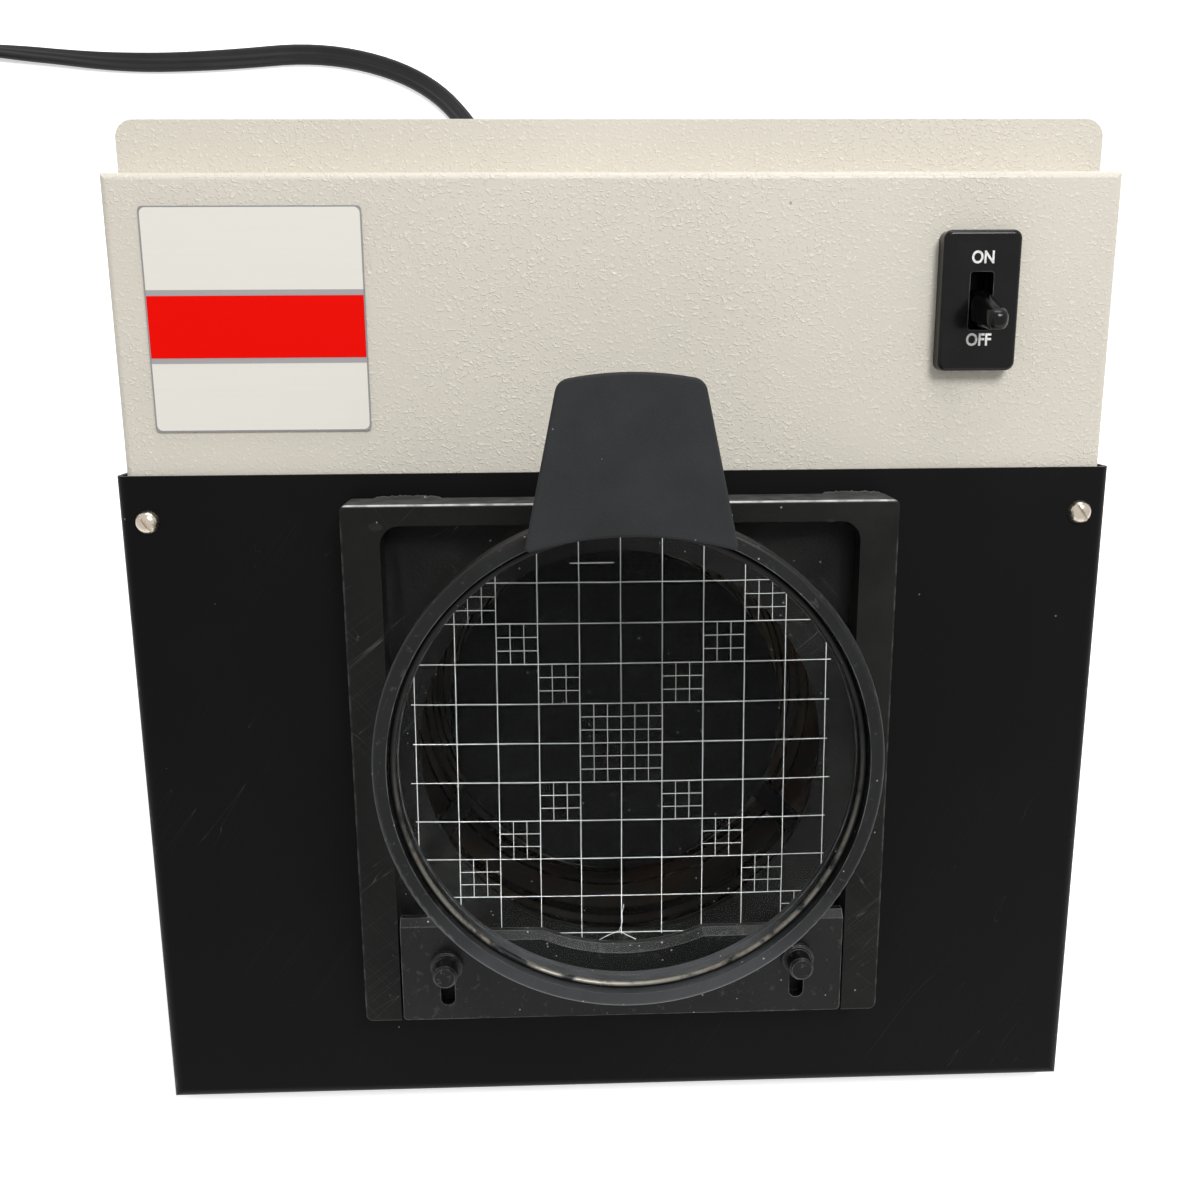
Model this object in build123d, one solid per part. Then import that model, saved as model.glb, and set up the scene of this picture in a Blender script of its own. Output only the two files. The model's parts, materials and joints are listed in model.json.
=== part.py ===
from build123d import *
import math
import os

# A bench colony counter. A wedge-shaped steel housing leans its front face back, and a lamp
# behind a dark-field stop lights the dish that rests on the sloping stage.
# X runs along the width, -Y is the operator's side and +Z is up. Lengths are millimetres.
# The origin is the middle of the footprint, on the bench.
# On the sloping front, a place is given as x, as "down" (from the face's top edge, along the
# slope) and as "out" (square to the face).

# ---------------------------------------------------------------- driving dimensions
# housing
lean = 45.0                 # front face, degrees back from the vertical
foot_height = 9.0
housing_width = 250.0
sheet = 1.2                 # steel sheet
bend = 1.8                  # outside radius of a folded edge
ledge_depth = 13.0          # step behind the face's top edge
lip_height = 14.0           # lip that stands on the step
lip_inset = 0.5             # from the housing's sides
lip_corner = 4.6
return_flange = 14.0        # folded edges inside the shell
opening_corner = 6.0
opening_gap = 3.0           # from the shell's front opening to the reflector's rim
under_flange = 19.6         # folded edge under the shell's front
rear_gap = 2.4              # rear cover's top edge under the lip's root
paint_gap = 0.3             # room between sheets that slide into one another

# the sloping front, from its top edge down
panel_height = 73.0         # plain panel above the black cover
stage_below_cover = 6.2     # from the cover's top edge to the stage plate
aperture_below_stage = 65.8     # from the stage plate's top edge to the aperture's middle
foot_below_aperture = 45.5  # from there to the upper edge of the magnifier's foot
foot_length = 29.1          # magnifier's foot, along the slope
stage_below_foot = 1.0
cover_below_stage = 31.4    # cover that shows under the stage plate

# black front cover
cover_gap = 1.3             # room between the cover's cheeks and the shell
cheek_depth = 20.0          # how far the cheeks reach back
cover_foot = 18.0           # folded edge under the housing
cover_screw_drop = 11.7     # from the cover's top edge
cover_screw_in = 7.4        # from the cover's side edge
cover_hole_gap = 3.0        # round the aperture
screw_hole_gap = 0.2        # holes in the outer sheets
screw_radius = 1.75         # a number 6 screw
screw_head_radius = 3.15
screw_head_height = 2.2
head_shoulder = 0.73        # the round head's fullness, as a share of its radius and height
screw_length = 8.0
screw_slot_width = 0.9
screw_slot_depth = 1.0
screw_slot_turn = -55.0

# stage
aperture_radius = 49.0
stage_width = 139.5
stage_thickness = 11.3
stage_corner = 2.0
stage_edge = 0.8
channel_width = 120.0       # sunk channel that holds the glass and the magnifier's foot
channel_in = 5.4            # from the stage plate's top edge
channel_corner = 5.0
channel_floor = 2.2         # thickness of the floor that the glass lies on
glass_thickness = 3.0
glass_gap = 0.5             # round the glass
glass_under_foot = 6.7      # its lower edge lies under the magnifier's foot
glass_room = 2.2            # between the glass and the foot, so that it slides out
glass_corner = 4.6
glass_arris = 0.3           # ground edges
foot_recess = 2.9           # floor under the magnifier's foot, below the stage's face
boss_radius = 4.5
stage_wall = 2.5
stage_pillar_radius = 5.2   # reaches into the wall beside it
stage_screw_in = 6.5        # from the stage plate's edges
stage_screw_radius = 1.4
stage_screw_length = 9.0
stage_screw_head = 2.6

stage_screw_head_height = 1.6

# magnifier
foot_thickness = 3.6
foot_side_gap = 0.7
foot_corner = 1.2
foot_bevel = 1.8            # along the foot's upper edge
foot_aperture_gap = 0.6     # the foot's hollow edge follows the aperture
slide_gap = 0.3             # between the foot and the floor that it slides on
slide_travel = 10.0
lens_above_aperture = 8.8   # the ring's middle, up the slope
ring_mid_out = 42.8         # middle of the ring's depth above the face
ring_tilt = 2.4             # the ring's lower side stands further out
ring_radius = 59.2
ring_wall = 3.5
ring_depth = 9.0
ring_edge = 1.2
seat_width = 2.2            # ledge behind the lens
seat_depth = 2.6
lens_gap = 0.3
lens_edge = 2.4
lens_rest = 0.3             # the curved back clears its ledge
lens_curve = 517.0          # radius of both faces, for 1.5 times
wire_radius = 0.8           # snap ring in front of the lens
wire_gap = 14.0             # degrees left open
wire_bite = 0.1             # and springs into the ring
wire_rest = 0.2             # the lens's curved front clears the wire
riser_wall = 3.2
riser_half_width = 36.0
riser_on_foot = 15.5        # from the foot's upper edge, at the middle of the riser
riser_on_foot_end = 8.0     # and at its two ends
riser_sink = 0.6            # the riser is let into the foot
riser_ring_inset = 0.5      # and stands within the ring's outside
riser_ring_lap = 1.0

# shade tab
tab_thickness = 2.4
tab_out = 16.0              # underside above the ring's back
tab_top = 89.6              # above the ring's middle, at the middle of its top edge
tab_shoulder = 87.9
tab_bottom = 51.3
tab_bottom_middle = 54.8
tab_top_half = 15.6
tab_bottom_half = 23.2
tab_corner = 3.4
tab_lower_corner = 1.0
tab_edge = 0.7
clip_wall = 2.2
clip_angle = 30.0

# thumbscrews
thumb_half_spacing = 47.2
thumb_on_foot = 13.0        # from the foot's upper edge
thumb_shaft = 1.5
thumb_fit = 0.05            # running fit in the stage plate
thumb_collar_radius = 4.3
thumb_collar = 1.6
thumb_knob_radius = 3.2
thumb_knob = 5.0
thumb_reach = 7.6           # shaft below the foot's face
thumb_collar_edge = 0.5
thumb_knob_edge = 0.6
slot_width = 3.8

# nameplate and switch
plate_in = 8.9              # nameplate's left edge from the housing's side
plate_down = 7.8
plate_width = 53.6
plate_height = 54.2
plate_thickness = 0.6
plate_corner = 1.0
switch_in = 35.6            # middle of the switch from the housing's right side
switch_down = 31.2
bezel_width = 19.4
bezel_height = 34.0
bezel_thickness = 4.8
bezel_corner = 2.2
bezel_edge = 1.2
bezel_slot_corner = 0.8
bezel_slot_width = 5.8
bezel_slot_height = 14.0
switch_width = 17.0
switch_height = 29.0
switch_depth = 21.0
switch_corner = 1.5
switch_hole_margin = 1.2    # between the switch's body and the housing's hole
switch_blade = 8.0          # terminals behind the switch
switch_blade_width = 6.3
switch_blade_thickness = 0.8
blade_pitch = 16.0
hub_gap = 0.4               # beside and below the toggle's hub
toggle_pivot = -4.0         # out of the face
toggle_throw = 25.0         # degrees from off to on
toggle_hub = 3.2
toggle_hub_width = 5.2
toggle_length = 21.5        # pivot to the middle of the tip
toggle_neck = 1.8
toggle_tip = 2.5
toggle_waist = 0.45         # where the lever starts to widen, as a share of its length
trunnion_radius = 1.2
trunnion_reach = 1.8
trunnion_fit = 0.06
trunnion_end_gap = 0.3

# lighting
reflector_swell = 9.0       # the bowl's bulge beside a straight cone
reflector_swell_depth = 0.55    # where it bulges, as a share of its depth
reflector_mouth = 57.0
reflector_throat = 25.0
reflector_depth = 60.0
reflector_wall = 0.8
reflector_rim = 5.0
reflector_neck_gap = 0.5    # round the socket
stop_radius = 42.0
stop_depth = 22.0
stop_thickness = 1.0
stop_arm = 5.0
stop_arm_lap = 4.0          # arms reach this far over the disc
stop_rim_gap = 1.2          # between an arm's end and the reflector
stop_hook = 1.5             # the arms' height at the rim
socket_radius = 12.0
socket_length = 24.0
socket_gap = 0.6            # behind the reflector
socket_collar = 6.0         # reaches into the reflector
socket_step = 3.0
socket_edge = 1.0
bulb_radius = 14.0
bulb_neck = 7.0
bulb_above_socket = 21.6    # from the socket's face to the bulb's middle
lamp_bracket_width = 44.0
lamp_bracket_toe = 16.0
lamp_bracket_head = 4.0     # bracket that stands above the socket

# base, feet and rear
base_thickness = 1.6
base_gap = 0.6
foot_radius = 9.5
foot_taper = 1.5
foot_edge = 1.0
foot_bore_gap = 0.6
foot_shoulder = 5.0         # the screw's head seats this far up inside the foot
foot_inset_side = 24.0
foot_inset_front = 34.0
foot_inset_rear = 20.0
vent_rows = 6
vent_length = 52.0
vent_height = 3.2
vent_pitch = 9.0
vent_low = 96.0             # above the bench
vent_offset = 62.0          # middle of each column from the centre line
rear_corner = 2.0
base_corner = 3.0
base_front_gap = 5.2        # from the base plate to the front fold
rear_screw_in = 8.0
relief_x = -24.0
relief_height = 45.0
relief_hole = 6.6
relief_flange = 9.0
relief_flange_thickness = 2.4
relief_tail = 14.0
relief_tail_radius = 6.0
relief_tail_step = 1.6      # the tail is narrower than the flange
relief_plug = 6.0           # inside the housing
relief_groove = 0.8
block_length = 40.0
block_width = 16.0
block_height = 14.0
block_in = 34.0             # from the housing's back
block_corner = 1.0
block_ways = 4
block_screw_radius = 2.2
block_screw_depth = 2.5
lead_radius = 1.3
lead_rise = 22.0            # straight up out of the terminal block
lead_bow = 60.0             # the switch's lead passes this far above the block
lead_slack = 26.0           # and this far beside the switch
lead_stub = 9.0             # straight run into a terminal
lead_drop = 16.0            # loop below the switch
lead_swing = 12.0           # straight run out of the socket's side

# cord: a flat cord of three conductors, drawn plain as a round of its full width
cord_diameter = 9.6
coil_radius = 52.0          # to the middle of the turns
coil_width = 21.0
coil_height = 19.0
coil_corner = 7.0
coil_x = -358.0
coil_y_back = 251.0         # coil's middle, behind the strain relief's end
tail_start = 30.0           # the cord leaves the coil this far past its side
plug_past_coil = 58.0
plug_width = 27.0
plug_thickness = 22.0
plug_length = 38.0
plug_waist = 13.0
plug_corner = 4.0
pin_drop = 2.0              # the blades lie below the plug's middle
blade_width = 6.3
blade_thickness = 1.5
blade_length = 16.0
blade_spacing = 12.7
earth_radius = 2.4
earth_offset = 11.9
earth_length = 18.0

# ---------------------------------------------------------------- worked out from them
slope = math.radians(90 - lean)
rise = math.sin(slope)
run = math.cos(slope)
base_z = foot_height
cover_top = panel_height
stage_top = cover_top + stage_below_cover
aperture_down = stage_top + aperture_below_stage
foot_top = aperture_down + foot_below_aperture
foot_bottom = foot_top + foot_length
stage_bottom = foot_bottom + stage_below_foot
stage_height = stage_bottom - stage_top
slope_length = stage_bottom + cover_below_stage
shell_opening_top = aperture_down - reflector_mouth - reflector_rim - opening_gap
cover_width = housing_width + 2 * (cover_gap + sheet)
cover_bend = sheet + bend
rear_extent = (slope_length + lip_height) * run + (ledge_depth + sheet) * rise
front_extent = (cover_bend - sheet) * (1 + run) / rise - cover_bend
front_y = -(rear_extent + front_extent) / 2
rear_y = front_y + slope_length * run + ledge_depth * rise
rear_top = base_z + slope_length * rise - ledge_depth * run

FACE = Plane(origin=(0, front_y, base_z), x_dir=(1, 0, 0), z_dir=(0, -rise, run))
stage_middle = (stage_top + stage_bottom) / 2
stage_face = sheet + stage_thickness
seat_floor = stage_face - foot_recess
foot_back = seat_floor + slide_gap
foot_face = foot_back + foot_thickness
glass_floor = foot_back - glass_room - glass_thickness
glass_bottom = foot_top + glass_under_foot
channel_top = stage_top + channel_in
lens_down = aperture_down - lens_above_aperture
thumb_down = foot_top + thumb_on_foot
cover_screw_down = cover_top + cover_screw_drop
lens_radius = ring_radius - ring_wall - lens_gap
stage_hollow = glass_floor - channel_floor - sheet
socket_face = reflector_depth + socket_gap
bulb_middle = socket_face - bulb_above_socket
switch_x = housing_width / 2 - switch_in
cover_screw_x = cover_width / 2 - cover_screw_in
bottom = (Align.CENTER, Align.CENTER, Align.MIN)
top = (Align.CENTER, Align.CENTER, Align.MAX)


def on_face(piece, x=0.0, down=0.0, out=0.0):
    """A piece drawn about its own origin, set on the sloping front."""
    return FACE * Pos(x, slope_length - down, out) * piece


def rounded(width, height, radius, thickness):
    """A plate with rounded corners, its back on the drawing plane."""
    return extrude(RectangleRounded(width, height, radius), thickness)


def side_profile(points, width):
    """A prism across the housing, from points (y, z) of its side view."""
    face = make_face(Polyline(*points, close=True))
    return extrude(Plane.YZ * face, width / 2, both=True)


def face_point(down, out):
    """The (y, z) of a place on the centre line of the sloping front."""
    up = slope_length - down
    return (front_y + up * run - out * rise, base_z + up * rise + out * run)


def face_edges(piece, x, down, out, reach):
    """Edges of a piece whose middles lie within reach of a place on the front."""
    place = FACE.from_local_coords(Vector(x, slope_length - down, out))
    return piece.edges().filter_by(lambda e: (e.center() - place).length < reach)


# ---------------------------------------------------------------- housing
cut_reach = 6.0             # how far a cut runs through a sheet


def front_folds(piece):
    """The edge along the foot of the sloping front."""
    across = piece.edges().filter_by(Axis.X)
    return across.group_by(Axis.Y)[0].group_by(Axis.Z)[0]


def shell_outline(inset):
    """Side view of the housing, moved inwards by a sheet thickness."""
    front_foot = front_y + inset * (1 + run) / rise
    top_edge = face_point(inset, -inset)
    ledge_end = face_point(inset, -(ledge_depth - inset * (1 - run) / rise - inset))
    return [
        (front_foot, base_z + inset),
        top_edge,
        (rear_y - inset, ledge_end[1]) if inset else face_point(0, -ledge_depth),
        (rear_y - inset, base_z + inset),
    ]


def body_shell():
    outside = side_profile(shell_outline(0), housing_width)
    folds = outside.edges().filter_by(Axis.X).group_by(Axis.Z)[-1] + front_folds(outside)
    for side in (-1, 1):
        folds += face_edges(outside, side * housing_width / 2, slope_length / 2, 0, 1)
    shell = fillet(folds, bend)
    inside = side_profile(shell_outline(sheet), housing_width - 2 * sheet)
    shell -= fillet(front_folds(inside), bend - sheet)
    inner_width = housing_width - 2 * return_flange
    opening_height = slope_length - shell_opening_top - return_flange
    opening = extrude(RectangleRounded(inner_width, opening_height, opening_corner),
                      cut_reach, both=True)
    shell -= on_face(opening, 0, shell_opening_top + opening_height / 2)
    under_length = rear_y - front_y - return_flange - under_flange
    shell -= Pos(0, rear_y - return_flange - under_length / 2, base_z) * Box(
        inner_width, under_length, cut_reach)
    rear_height = rear_top - base_z - 2 * return_flange
    shell -= Pos(0, rear_y, base_z + return_flange + rear_height / 2) * Box(
        inner_width, cut_reach, rear_height)
    lip_width = housing_width - 2 * lip_inset
    lip = Pos(0, -sheet, 0) * extrude(
        Pos(0, (lip_height + sheet) / 2) * Rectangle(lip_width, lip_height + sheet), -sheet)
    lip = fillet(lip.edges().filter_by(Axis.Z).group_by(Axis.Y)[-1], lip_corner)
    shell += on_face(lip, 0, 0, -ledge_depth)
    for side in (-1, 1):
        shell -= on_face(Cylinder(screw_radius, cut_reach), side * cover_screw_x,
                         cover_screw_down)
    for x, z in rear_screw_places():
        shell -= Pos(x, rear_y, z) * Rot(90, 0, 0) * Cylinder(screw_radius, cut_reach)
    switch_hole = Box(switch_width - 2 * switch_hole_margin,
                      switch_height - 2 * switch_hole_margin, cut_reach)
    shell -= on_face(switch_hole, switch_x, switch_down)
    for x, y in foot_places():
        shell -= Pos(x, y, base_z) * Cylinder(screw_radius, cut_reach)
    return shell


def front_cover():
    corner = (front_y - sheet * (1 + run) / rise, base_z - sheet)
    back = front_y + cover_foot
    plate = side_profile([
        face_point(cover_top, sheet), corner, (back, base_z - sheet), (back, base_z),
        (front_y, base_z), face_point(cover_top, 0)], cover_width)
    end = base_z - sheet
    reach = (base_z - sheet - face_point(cover_top, -cheek_depth)[1]) / rise
    cheek_end = (face_point(cover_top, -cheek_depth)[0] + reach * run, end)
    cheek = side_profile([face_point(cover_top, sheet), corner, cheek_end,
                          face_point(cover_top, -cheek_depth)], sheet)
    middle = (cover_width - sheet) / 2
    cover = plate + Pos(middle, 0, 0) * cheek + Pos(-middle, 0, 0) * cheek
    halfway = (cover_top + slope_length) / 2
    inner_folds = cover.edges().filter_by(Axis.X).filter_by(
        lambda e: abs(e.center().Y - front_y) + abs(e.center().Z - base_z) < sheet / 2)
    for side in (-1, 1):
        inner_folds += face_edges(cover, side * (cover_width / 2 - sheet), halfway, 0, sheet / 2)
    cover = fillet(inner_folds, bend)
    outer_folds = front_folds(cover)
    for side in (-1, 1):
        outer_folds += face_edges(cover, side * cover_width / 2, halfway, sheet, cover_bend)
    cover = fillet(outer_folds, cover_bend)
    cover -= on_face(Cylinder(aperture_radius + cover_hole_gap, cut_reach), 0, aperture_down)
    for side in (-1, 1):
        cover -= on_face(Cylinder(screw_radius + screw_hole_gap, cut_reach),
                         side * cover_screw_x, cover_screw_down)
    for x, down in stage_screw_places():
        cover -= on_face(Cylinder(stage_screw_radius + screw_hole_gap, cut_reach), x, down)
    return cover


def rear_cover():
    height = rear_top - rear_gap - base_z
    plate = Pos(0, rear_y + sheet / 2, base_z + height / 2) * Box(
        housing_width - 2 * paint_gap, sheet, height)
    plate = fillet(plate.edges().filter_by(Axis.Y), rear_corner)
    vent = extrude(SlotOverall(vent_length, vent_height), cut_reach, both=True)
    for side in (-1, 1):
        for row in range(vent_rows):
            plate -= Pos(side * vent_offset, rear_y, vent_low + row * vent_pitch) * Rot(
                90, 0, 0) * vent
    for x, z in rear_screw_places():
        plate -= Pos(x, rear_y, z) * Rot(90, 0, 0) * Cylinder(
            screw_radius + screw_hole_gap, cut_reach)
    hole = Rot(90, 0, 0) * Cylinder(relief_hole, cut_reach)
    return plate - Pos(relief_x, rear_y, relief_height) * hole


def rear_screw_places():
    x = housing_width / 2 - rear_screw_in
    heights = (base_z + rear_screw_in, rear_top - rear_gap - rear_screw_in)
    return [(side * x, z) for side in (-1, 1) for z in heights]


def base_plate():
    depth = rear_y - front_y - sheet - base_gap - base_front_gap
    middle_y = rear_y - sheet - base_gap - depth / 2
    width = housing_width - 2 * (sheet + base_gap)
    plate = Pos(0, middle_y, base_z + sheet) * Box(width, depth, base_thickness, align=bottom)
    plate = fillet(plate.edges().filter_by(Axis.Z), base_corner)
    for x, y in foot_places():
        plate -= Pos(x, y, base_z) * Cylinder(screw_radius, cut_reach, align=bottom)
    return plate


def foot_places():
    x = housing_width / 2 - foot_inset_side
    return [(side * x, y) for side in (-1, 1)
            for y in (front_y + foot_inset_front, rear_y - foot_inset_rear)]


def rubber_foot():
    profile = Polyline((0, 0), (foot_radius - foot_taper, 0), (foot_radius, foot_height),
                       (0, foot_height), close=True)
    foot = revolve(Plane.XZ * make_face(profile), Axis.Z)
    foot = chamfer(foot.edges().group_by(Axis.Z)[0], foot_edge)
    foot -= Cylinder(screw_head_radius + foot_bore_gap, foot_shoulder, align=bottom)
    return foot - Cylinder(screw_radius, foot_height, align=bottom)


def round_head_screw(length, head_radius=screw_head_radius, shaft=screw_radius,
                     head=screw_head_height):
    """A slotted screw with its head above the drawing plane and its shaft below."""
    shoulder = (head_radius * head_shoulder, head * head_shoulder)
    cap = ThreePointArc((head_radius, 0), shoulder, (0, head))
    side = make_face(Curve() + [Line((0, 0), (head_radius, 0)), cap, Line((0, head), (0, 0))])
    screw = revolve(Plane.XZ * side, Axis.Z)
    screw += Pos(0, 0, -length) * Cylinder(shaft, length, align=bottom)
    slot = Pos(0, 0, head - screw_slot_depth) * Box(
        head_radius * 3, screw_slot_width, screw_slot_depth * 2, align=bottom)
    return screw - Rot(0, 0, screw_slot_turn) * slot


def cover_screws():
    screw = round_head_screw(screw_length, shaft=screw_radius)
    return [on_face(screw, side * cover_screw_x, cover_screw_down, sheet) for side in (-1, 1)]


def rear_screws():
    screw = Rot(-90, 0, 0) * round_head_screw(screw_length)
    return [Pos(x, rear_y + sheet, z) * screw for x, z in rear_screw_places()]


def foot_screws():
    screw = Rot(180, 0, 0) * round_head_screw(screw_length)
    return [Pos(x, y, foot_shoulder) * screw for x, y in foot_places()]


# ---------------------------------------------------------------- stage
def stage_screw_places():
    x = stage_width / 2 - stage_screw_in
    downs = (stage_top + stage_screw_in, stage_top + stage_height - stage_screw_in)
    return [(side * x, down) for side in (-1, 1) for down in downs]


def stage_plate():
    plate = rounded(stage_width, stage_height, stage_corner, stage_thickness)
    plate = fillet(plate.edges().group_by(Axis.Z)[-1], stage_edge)
    hollow = rounded(stage_width - 2 * stage_wall, stage_height - 2 * stage_wall,
                     stage_corner, stage_hollow)
    for x, down in stage_screw_places():
        hollow -= Pos(x, stage_middle - down) * Cylinder(
            stage_pillar_radius, stage_hollow, align=bottom)
    thumb_up = stage_middle - thumb_down
    for side in (-1, 1):
        hollow -= Pos(side * thumb_half_spacing, thumb_up) * Cylinder(
            boss_radius, stage_hollow, align=bottom)
    plate -= hollow

    def sunk(upper, lower, floor_out, corner):
        """A channel pocket between two places down the slope."""
        height = lower - upper
        pocket = Pos(0, stage_middle - (upper + lower) / 2, floor_out - sheet) * Box(
            channel_width, height, stage_thickness, align=bottom)
        if corner:
            pocket = fillet(pocket.edges().filter_by(Axis.Z).group_by(Axis.Y)[-1], corner)
        return pocket

    plate -= sunk(channel_top, glass_bottom + glass_gap, glass_floor, channel_corner)
    plate -= sunk(glass_bottom, stage_bottom + cut_reach, seat_floor, 0)
    through = 4 * stage_thickness
    plate -= Pos(0, stage_middle - aperture_down) * Cylinder(aperture_radius, through)
    for side in (-1, 1):
        plate -= Pos(side * thumb_half_spacing, thumb_up) * Cylinder(
            thumb_shaft + thumb_fit, through)
    for x, down in stage_screw_places():
        plate -= Pos(x, stage_middle - down) * Cylinder(
            stage_screw_radius, stage_screw_length - sheet, align=bottom)
    return on_face(plate, 0, stage_middle, sheet)


def stage_screws():
    screw = Rot(180, 0, 0) * round_head_screw(
        stage_screw_length, stage_screw_head, stage_screw_radius, stage_screw_head_height)
    return [on_face(screw, x, down, 0) for x, down in stage_screw_places()]


def guide_plate():
    height = glass_bottom - channel_top - glass_gap
    plate = Box(channel_width - 2 * glass_gap, height, glass_thickness, align=bottom)
    plate = fillet(plate.edges().filter_by(Axis.Z).group_by(Axis.Y)[-1], glass_corner)
    plate = chamfer(plate.edges().group_by(Axis.Z)[-1], glass_arris)
    return on_face(plate, 0, glass_bottom - height / 2, glass_floor)


# ---------------------------------------------------------------- magnifier
RING = FACE * Location(
    (0, slope_length - lens_down, ring_mid_out), (-ring_tilt, 0, 0)) * Location(
    (0, 0, -ring_depth / 2))


def magnifier_ring():
    inner = ring_radius - ring_wall
    profile = make_face(Polyline(
        (inner - seat_width, 0), (ring_radius, 0), (ring_radius, ring_depth),
        (inner, ring_depth), (inner, seat_depth), (inner - seat_width, seat_depth), close=True))
    ring = revolve(Plane.XZ * profile, Axis.Z)
    rims = ring.edges().filter_by(GeomType.CIRCLE).group_by(Axis.Z)[-1].sort_by(SortBy.RADIUS)
    ring = fillet(rims[-1:], ring_edge)
    return RING * ring


def arc_band(middle, end, half_width, thickness):
    """A flat band along an arc: middle and end are its y at the centre and at the ends."""
    half = thickness / 2
    outer = ThreePointArc((-half_width, end - half), (0, middle - half), (half_width, end - half))
    inner = ThreePointArc((half_width, end + half), (0, middle + half), (-half_width, end + half))
    sides = [Line(outer @ 1, inner @ 0), Line(inner @ 1, outer @ 0)]
    return make_face(Curve() + [outer, sides[0], inner, sides[1]])


def magnifier_frame():
    width = channel_width - 2 * foot_side_gap
    foot = Box(width, foot_length, foot_thickness, align=bottom)
    foot = fillet(foot.edges().filter_by(Axis.Z).group_by(Axis.Y)[0], foot_corner)
    foot = chamfer(foot.edges().group_by(Axis.Z)[-1].sort_by(Axis.Y)[-1:], foot_bevel)
    middle = (foot_top + foot_bottom) / 2
    through = 4 * foot_thickness
    hollow = Cylinder(aperture_radius + foot_aperture_gap, through)
    hollow += Pos(0, 0, foot_thickness - foot_bevel) * Cone(
        aperture_radius + foot_aperture_gap, aperture_radius + foot_aperture_gap + foot_bevel,
        foot_bevel, align=bottom)
    foot -= Pos(0, middle - aperture_down) * hollow
    for side in (-1, 1):
        slot = SlotOverall(slide_travel + slot_width, slot_width)
        foot -= Pos(side * thumb_half_spacing, middle - thumb_down - slide_travel / 2) * extrude(
            Rot(0, 0, 90) * slot, through, both=True)
    frame = on_face(foot, 0, middle, foot_back)
    band_radius = ring_radius - riser_wall / 2 - riser_ring_inset
    band_end = -math.sqrt(band_radius ** 2 - riser_half_width ** 2)
    upper = RING * Pos(0, 0, riser_ring_lap) * arc_band(
        -band_radius, band_end, riser_half_width, riser_wall)
    lower = FACE * Pos(0, slope_length - foot_top, foot_face - riser_sink) * arc_band(
        -riser_on_foot, -riser_on_foot_end, riser_half_width, riser_wall)
    riser = loft([lower.face(), upper.face()], ruled=True)
    return frame + riser + magnifier_ring()


def magnifier_lens():
    sag = lens_curve - math.sqrt(lens_curve ** 2 - lens_radius ** 2)
    half_sag = lens_curve - math.sqrt(lens_curve ** 2 - lens_radius ** 2 / 4)
    half = lens_edge / 2
    front = ThreePointArc((lens_radius, half), (lens_radius / 2, half + sag - half_sag),
                          (0, half + sag))
    back = ThreePointArc((0, -half - sag), (lens_radius / 2, half_sag - half - sag),
                         (lens_radius, -half))
    edges = [front, Line((0, half + sag), (0, -half - sag)), back,
             Line((lens_radius, -half), (lens_radius, half))]
    lens = revolve(Plane.XZ * make_face(Curve() + edges), Axis.Z)
    return RING * Pos(0, 0, seat_depth + lens_rest + half) * lens


def snap_ring():
    radius = lens_radius - wire_radius + wire_bite
    wire = CenterArc((0, 0), radius, 90 + wire_gap / 2, 360 - wire_gap)
    section = Plane(origin=wire @ 0, z_dir=wire % 0) * Circle(wire_radius)
    height = seat_depth + lens_rest + lens_edge + wire_radius + wire_rest
    return RING * Pos(0, 0, height) * sweep(section, wire)


def shade_tab():
    """A tab on a curved clip at the top of the ring."""
    base = ThreePointArc((-tab_bottom_half, tab_bottom), (0, tab_bottom_middle),
                         (tab_bottom_half, tab_bottom))
    crown = ThreePointArc((tab_top_half, tab_shoulder), (0, tab_top),
                          (-tab_top_half, tab_shoulder))
    outline = make_face(Curve() + [base, Line(base @ 1, crown @ 0), crown,
                                   Line(crown @ 1, base @ 0)])
    outline = fillet(outline.vertices().group_by(Axis.Y)[-1], tab_corner)
    outline = fillet(outline.vertices().group_by(Axis.Y)[0], tab_lower_corner)
    tab = Pos(0, 0, tab_out) * extrude(outline, tab_thickness)
    tab = fillet(tab.edges().group_by(Axis.Z)[-1], tab_edge)
    clip = extrude(Circle(ring_radius + clip_wall) - Circle(ring_radius), tab_out)
    reach = 2 * ring_radius
    half = math.radians(clip_angle / 2)
    wedge = make_face(Polyline((0, 0), (reach * math.sin(half), reach * math.cos(half)),
                               (-reach * math.sin(half), reach * math.cos(half)), close=True))
    clip &= extrude(wedge, tab_out)
    return RING * (tab + clip)


def thumbscrew(side):
    screw = Cylinder(thumb_collar_radius, thumb_collar, align=bottom)
    screw = chamfer(screw.edges().group_by(Axis.Z)[-1], thumb_collar_edge)
    knob = Cylinder(thumb_knob_radius, thumb_collar + thumb_knob, align=bottom)
    screw += chamfer(knob.edges().group_by(Axis.Z)[-1], thumb_knob_edge)
    screw += Cylinder(thumb_shaft, thumb_reach, align=top)
    return on_face(screw, side * thumb_half_spacing, thumb_down, foot_face + slide_gap)


# ---------------------------------------------------------------- nameplate and switch
def nameplate():
    x = -housing_width / 2 + plate_in + plate_width / 2
    plate = rounded(plate_width, plate_height, plate_corner, plate_thickness)
    return on_face(plate, x, plate_down + plate_height / 2)


def switch_bezel():
    bezel = rounded(bezel_width, bezel_height, bezel_corner, bezel_thickness)
    bezel = fillet(bezel.edges().group_by(Axis.Z)[-1], bezel_edge)
    bezel -= extrude(RectangleRounded(bezel_slot_width, bezel_slot_height, bezel_slot_corner),
                     2 * bezel_thickness, both=True)
    return on_face(bezel, switch_x, switch_down)


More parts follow.
